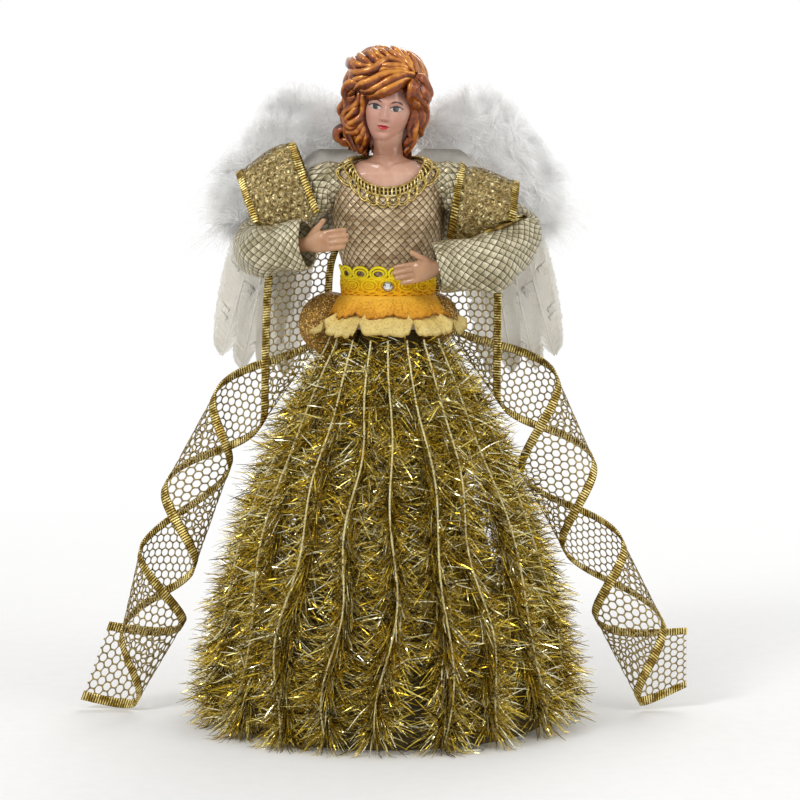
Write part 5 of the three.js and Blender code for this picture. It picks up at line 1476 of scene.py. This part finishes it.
def make_hair():
    parts, ridges = [], []
    rng = np.random.default_rng(7)

    def lock(line, half, first, flat):
        """A fluted lock that tapers at both ends, with values for its colour: darker in its grooves, plus
        painted light and shade, lighter where it faces out and darker where it faces the head.
        """
        t = np.linspace(0, 1, len(line))
        taper = mix(0.55, 1, smooth(t / 0.2)) * mix(0.35, 1, smooth((1 - t) / 0.25))
        points, faces = tubes(line, (half * taper)[None], LOCK_SIDES, flat, first, (LOCK_FLUTES, LOCK_GROOVE))
        way = unit(points.reshape(-1, LOCK_SIDES, 3) - line[:, None])
        facing = np.sum(way * unit(line - HAIR_MIDDLE)[:, None], -1)
        groove = np.cos(LOCK_FLUTES * TAU * np.arange(LOCK_SIDES) / LOCK_SIDES)
        parts.append((points, faces))
        # Painted light and shade: lighter where the lock faces out from the head, darker where it faces in;
        # darker in the grooves as well.
        ridges.append((0.42 + 0.36 * facing + 0.16 * groove + rng.uniform(-0.08, 0.08)).ravel())

    for number, (half, stops) in enumerate(LOCKS):
        flat = lock_places(stops)
        x, z, _ = spline(np.hstack([flat, np.zeros((len(flat), 1))]), 24).T
        wave = 0.6 * np.sin(np.linspace(0, 3 * math.pi, len(x)) + rng.uniform(0, 6))
        line = np.stack([x, hair_front(x, z) - 0.3 - 0.45 * (number % 3) - wave, z], 1)
        line = at_lengths(line, line, np.linspace(0, run_lengths(line)[-1], 70))
        lock(line, 1.38 * round(half * HAIR_VIEW_MM, 1), np.cross(tangents(line)[0], vec(0, 1, 0)), 0.95)
    falls = [(mix(0.36, 1.64, (k + 0.5) / BACK_LOCKS), (26, 23, 17, 9, 1, -7, -14, -19 - 2.5 * (k % 2)))
             for k in range(BACK_LOCKS)]
    falls += [(share, (26, 24.5, 21, 16, 11.5)) for share in CROWN_SHARES]
    for k, (share, stops) in enumerate(falls):
        round_way, z = share * math.pi, np.array(stops, float)
        ring = np.clip(1 - np.abs((z - 4) / 22.6) ** 2.2, 0, 1) ** (1 / 2.2)
        ring = np.where(z < -6, np.interp(z, (-20, -14, -7), (0.7, 0.84, 0.94)), ring)
        a = round_way + 0.11 * np.sin(z / 3.1 + 2.3 * k) * np.linspace(0, 1, len(z))
        ring = ring * (1 + 0.05 * np.sin(z / 2.4 + 1.7 * k))
        line = spaced(np.stack([-1.5 + 17.2 * ring * np.sin(a), 3.5 - 15.6 * ring * np.cos(a), z], 1), 80)
        sideways = vec(-math.sin(round_way), math.cos(round_way), 0.2)
        lock(line, 2.9, np.cross(tangents(line)[0], sideways), 0.8)
    for k in range(NAPE_LOCKS):
        x = mix(-13.5, 11, k / (NAPE_LOCKS - 1))
        stops = [(x, 5, -4), (x * 1.02 + 0.6, 5.5, -11),
                 (x * 0.94 - 0.6, 5, -17), (x * 0.86, 4, -21 - (k % 3))]
        lock(spaced(stops, 50), 2.4, vec(1, 0, 0), 0.85)
    way = globe(np.linspace(-1.5, 1.55, 60), np.linspace(0, TAU, 120, endpoint=False) - math.pi / 2)
    cap = way * np.sum(np.abs(way / CAP_HALF) ** 2.2, -1, keepdims=True) ** (-1 / 2.2) + HAIR_MIDDLE
    x, y, z = np.moveaxis(cap, -1, 0)
    face = (((x - FACE_X) / 11.2) ** 4 + ((z + 6.0) / 13.4) ** 4 < 1) & (y < 0)
    cap[..., 1] = np.where(face | ((y < -2) & (z < 3)), np.maximum(y, 1.0), y)
    parts.append((cap, grid_faces(*cap.shape[:2], loop=True)))
    ridges.append(np.full(cap[..., 0].size, 0.55))
    points, faces = joined(parts)
    piece = mesh_object("hair", from_head(points), faces, values={"RidgeAndShade": np.concatenate(ridges)})
    settle(piece, hair_look(), "doll", "hair", "hair")


make_hair()


# Wings.

def feather_look():
    look = Look("white_feather", Roughness=0.6, IOR=1.02, Transmission_Weight=0.5)
    across, along, _ = look.parts(look.uv())
    slant = look.math("ADD", along, look.math("ABSOLUTE", across))
    barb = look.math("SINE", look.math("MULTIPLY", slant, 5.2))
    tone = look.math("ADD", look.span(barb, -1, 1, 0.0, 0.5), look.math("MULTIPLY", look.noise(6, 3), 0.7))
    base = look.ramp(tone, [(0.2, "#EAE6DC"), (0.75, "#FCFAF5")])
    return look.wear(Base_Color=base, Normal=look.bump(barb, 0.05))


def down_look():
    look = Look("white_down", Roughness=0.7, IOR=1.03, Transmission_Weight=0.65,
                Sheen_Weight=0.5, Sheen_Roughness=0.4)
    return look.wear(Base_Color=look.ramp(look.noise(5, 3), [(0.3, "#F6F6F5"), (0.7, "#FFFFFF")]))


feather_white, down_white = feather_look(), down_look()
FLUFF_LEVELS = (205, 236, 246, 258, 272, 290)
FLUFF_SHARES = (1.0, 1.0, 0.93, 0.7, 0.52, 0.4)
FLUFF_CENTRE, FLUFF_HALF = vec(45, 27.2, 251.3), vec(37, 8, 33)
CLUMPS, STRANDS = 760, 30
STRAND_WIDTH, STRAND_TAPER = (0.24, 0.45), vec(0.7, 1.0, 0.85, 0.55, 0.12)
WISP_PLACES = ((56, 75), (21, 33), (222, 243))
CARD_FRONT, DOWN_FRONT, DOWN_MIDDLE, DOWN_BACK = 18.4, 19.0, 28.5, 20.2
BACK_FEATHERS = ((48, 237, 3.5, 80, 8.2), (55, 236, 6.5, 78, 8.2), (61, 234, 10.5, 70, 8.0))


def make_feather(name, node, side, foot, turn, length, half, front, seed, body):
    """A blade with splits and ridges of barbs, cupped across, on a quill."""
    rng = np.random.default_rng(seed)
    rows, columns = 90, 25
    t = np.linspace(0, 1, rows)[:, None]
    v = np.linspace(-1, 1, columns)[None]
    shape = np.clip(np.sin(math.pi * np.clip(t * 0.93 + 0.035, 0, 1)) ** 0.42, 0.05, 1)
    shape = half * shape * mix(0.55, 1, smooth(t / 0.25))
    ragged = 1 + 0.03 * rng.normal(0, 1, (rows, columns)) * smooth(t * 3)
    for _ in range(5):
        split, edge = rng.uniform(0.25, 0.95), rng.choice((-1, 1))
        ragged -= 0.4 * np.exp(-((t - split) / 0.012) ** 2) * (v * edge > 0.45)
    across = v * shape * ragged
    down = t * length + 0.3 * half - 0.45 * np.abs(v) * half
    cup = -1.3 * v ** 2 * (shape / half) + 0.8 * np.sin(2.4 * t)
    cup = cup + 0.16 * np.sin(TAU * (down + 0.9 * np.abs(across)) / 2.6) * smooth(np.abs(v) * 4)
    across = across + 0.05 * length * t ** 2
    c, s = math.cos(turn), math.sin(turn)
    x, z = foot[0] + across * c + down * s, foot[1] + across * s - down * c
    face = np.stack([side * x, front - 0.4 + cup, z], -1)
    blade = two_layers(face, face + vec(0, 0.5, 0))
    quill = tubes(face[:, columns // 2] + vec(0, 0.25, 0), mix(0.95, 0.35, t).T, 8)
    uv = np.stack(np.broadcast_arrays(v * half, t * length), -1).reshape(-1, 2)
    uv = np.vstack([uv, uv, np.zeros((len(quill[0]), 2))])
    points, faces = joined([blade, quill])
    piece = mesh_object(name, points, faces, uv=uv)
    settle(piece, feather_white, body, "feather", *node)


def sloped(points):
    """Draw in the upper outer corner of the down, which slopes from the neck to the elbow."""
    share = np.interp(points[..., 2], FLUFF_LEVELS, FLUFF_SHARES)
    past = np.maximum(points[..., 0] - FLUFF_CENTRE[0], 0)
    return points - vec(1, 0, 0) * (past * (1 - share))[..., None]


def above_ribbon(x):
    """Lowest place for down on the wing's front, with room for the ribbon to swing below it."""
    return np.clip(293 - x, 226, 260)


def make_feathers(name, side, body):
    """Four flight feathers in front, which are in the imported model, and three behind them."""
    for i in range(4):
        foot = (4 + mix(0.62, 1.02, i / 4) * 58, 238.8)
        node = f"feather_{name}_{i + 1}"
        make_feather(node, [node], side, foot, math.radians(3 * (i + 0.8)), 83 - 2.5 * i, 7.9,
                     21.885 + 1.1 * i, 40 + i, body)
    for i, (x, z, turn, length, half) in enumerate(BACK_FEATHERS):
        make_feather(f"feather_{name}_{i + 5}", [], side, (x, z), math.radians(turn), length, half,
                     26.2 + 0.9 * i, 60 + i, body)


def clump_places(rng):
    """Feet, directions and sizes of the clumps: on a rounded pad, on the card's front, and wisps below."""
    way = unit(rng.normal(0, 1, (CLUMPS, 3)) * vec(1, 0.55, 1))
    foot = FLUFF_CENTRE + way * FLUFF_HALF * rng.uniform(0.62, 0.95, CLUMPS)[:, None]
    lead = unit(way * vec(1.0, 0.55, 1.0) + vec(0.35, 0, 0.12) + rng.normal(0, 0.32, (CLUMPS, 3)))
    lean = unit(rng.normal(0, 1, (CLUMPS, 3)))
    size = rng.uniform(9, 17, CLUMPS)
    front = np.arange(CLUMPS) % 3 == 0
    spread = rng.uniform(14, 70, front.sum())
    rise = mix(above_ribbon(spread), 271, rng.uniform(0, 1, front.sum()))
    foot[front] = np.stack([spread, np.full(front.sum(), CARD_FRONT), rise], 1)
    lead[front] = unit(lead[front] * vec(1, 0.3, 1) + vec(0.3, -0.2, 0.25))
    size[front] *= 0.85
    wisp = np.arange(CLUMPS) % 8 == 1
    foot[wisp] = np.stack([rng.uniform(low, high, wisp.sum()) for low, high in WISP_PLACES], 1)
    lead[wisp] = unit(vec(0.8, 0, -0.5) + rng.normal(0, 0.28, (wisp.sum(), 3)))
    size[wisp] *= 1.15
    return foot, lead, lean, size, front, wisp


def held_in(lines, front, wisp):
    """Bring strands inside the down's outline: rounded in depth, clear of the ribbon, within the rim."""
    x, y, z = np.moveaxis(lines, -1, 0)
    rim = ((x - 45) / 42) ** 2 + ((z - 250) / 40) ** 2
    thick = 2.5 + 7.5 * np.sqrt(np.clip(1 - rim, 0, 1))
    before = DOWN_FRONT - 0.5 * thick * np.tanh(np.maximum(DOWN_FRONT - y, 0) / 4)
    behind = np.maximum(DOWN_MIDDLE + thick * np.tanh((y - DOWN_MIDDLE) / 8), DOWN_BACK)
    x = np.maximum(x, np.where(front, 12.0, 5.5))
    z = np.where(front, np.maximum(z, above_ribbon(x) - 1.5), z)
    lines = np.stack([x, np.where(front, before, behind), z], -1)
    over = ((x - FLUFF_CENTRE[0]) / 40.5) ** 2 + ((z - FLUFF_CENTRE[2]) / 36.0) ** 2 - 1
    over = np.maximum(0, over)[..., None] * (1 - wisp)[..., None]
    pulled = mix(lines, FLUFF_CENTRE + (lines - FLUFF_CENTRE) / np.sqrt(1 + over), 0.75)
    return sloped(np.where(over > 0, pulled, lines))


def make_fluff(name, side, body):
    rng = np.random.default_rng(200 + (side > 0))
    lat, turn = np.linspace(-1.5, 1.5, 40), np.linspace(0, TAU, 80, endpoint=False)
    lumps = 1 + 0.08 * np.sin(7 * turn + 3 * lat[:, None]) + 0.06 * np.sin(4 * turn - 9 * lat[:, None])
    pad = globe(lat, turn) * lumps[..., None] * FLUFF_HALF * vec(0.80, 0.78, 0.80) + FLUFF_CENTRE
    foot, lead, lean, size, front, wisp = (np.repeat(a, STRANDS, 0) for a in clump_places(rng))
    foot = foot + rng.normal(0, 0.7, foot.shape)
    heading = unit(lead + rng.normal(0, 0.30, lead.shape))
    length = (size * rng.uniform(0.6, 1.1, len(size)))[:, None, None]
    t = np.linspace(0, 1, len(STRAND_TAPER))[:, None]
    lines = foot[:, None] + length * (heading[:, None] * t + (0.25 * lean[:, None] - 0.15 * UP) * t ** 2)
    lines = held_in(lines, front[:, None], wisp[:, None])
    facing = vec(0, 1, 0) + rng.normal(0, 0.35, (len(lines), 1, 3))
    width = rng.uniform(*STRAND_WIDTH, len(lines))[:, None] * STRAND_TAPER
    points, faces = joined([(sloped(pad), grid_faces(len(lat), len(turn), loop=True)),
                            strips(lines, unit(np.cross(tangents(lines), facing)), width)])
    piece = mesh_object(f"fluff_{name}", points * vec(side, 1, 1), faces)
    settle(piece, down_white, body, "down", f"fluff_{name}")


for name, side in SIDES.items():
    make_feathers(name, side, f"wing_{name}")
    make_fluff(name, side, f"wing_{name}")


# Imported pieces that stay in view.

def plain_look(name, dark, light, size, metallic=0.0, roughness=0.7, relief=0.1):
    look = Look(name, Metallic=metallic, Roughness=roughness)
    grain = look.noise(size, 4)
    base = look.ramp(grain, [(0.3, dark), (0.7, light)])
    return look.wear(Base_Color=base, Normal=look.bump(grain, relief))


steel = plain_look("steel_wire", "#8E8E90", "#B8B8BA", 1.2, 0.9, 0.35, 0.03)
white_card = plain_look("white_card", "#D8D6D0", "#E6E4DE", 3)
for nodes, look in (
        (["tree_cone"], plain_look("cone_card", "#3A2E0E", "#54441A", 2.5)),
        (["torso_core"], plain_look("core_plastic", "#CDBFA6", "#D8CDB8", 6)),
        (["arm_wire_left", "arm_wire_right"], steel),
        (["wing_card_left", "wing_card_right", "wing_pad"], white_card)):
    for node in nodes:
        dress(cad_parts[node], look)
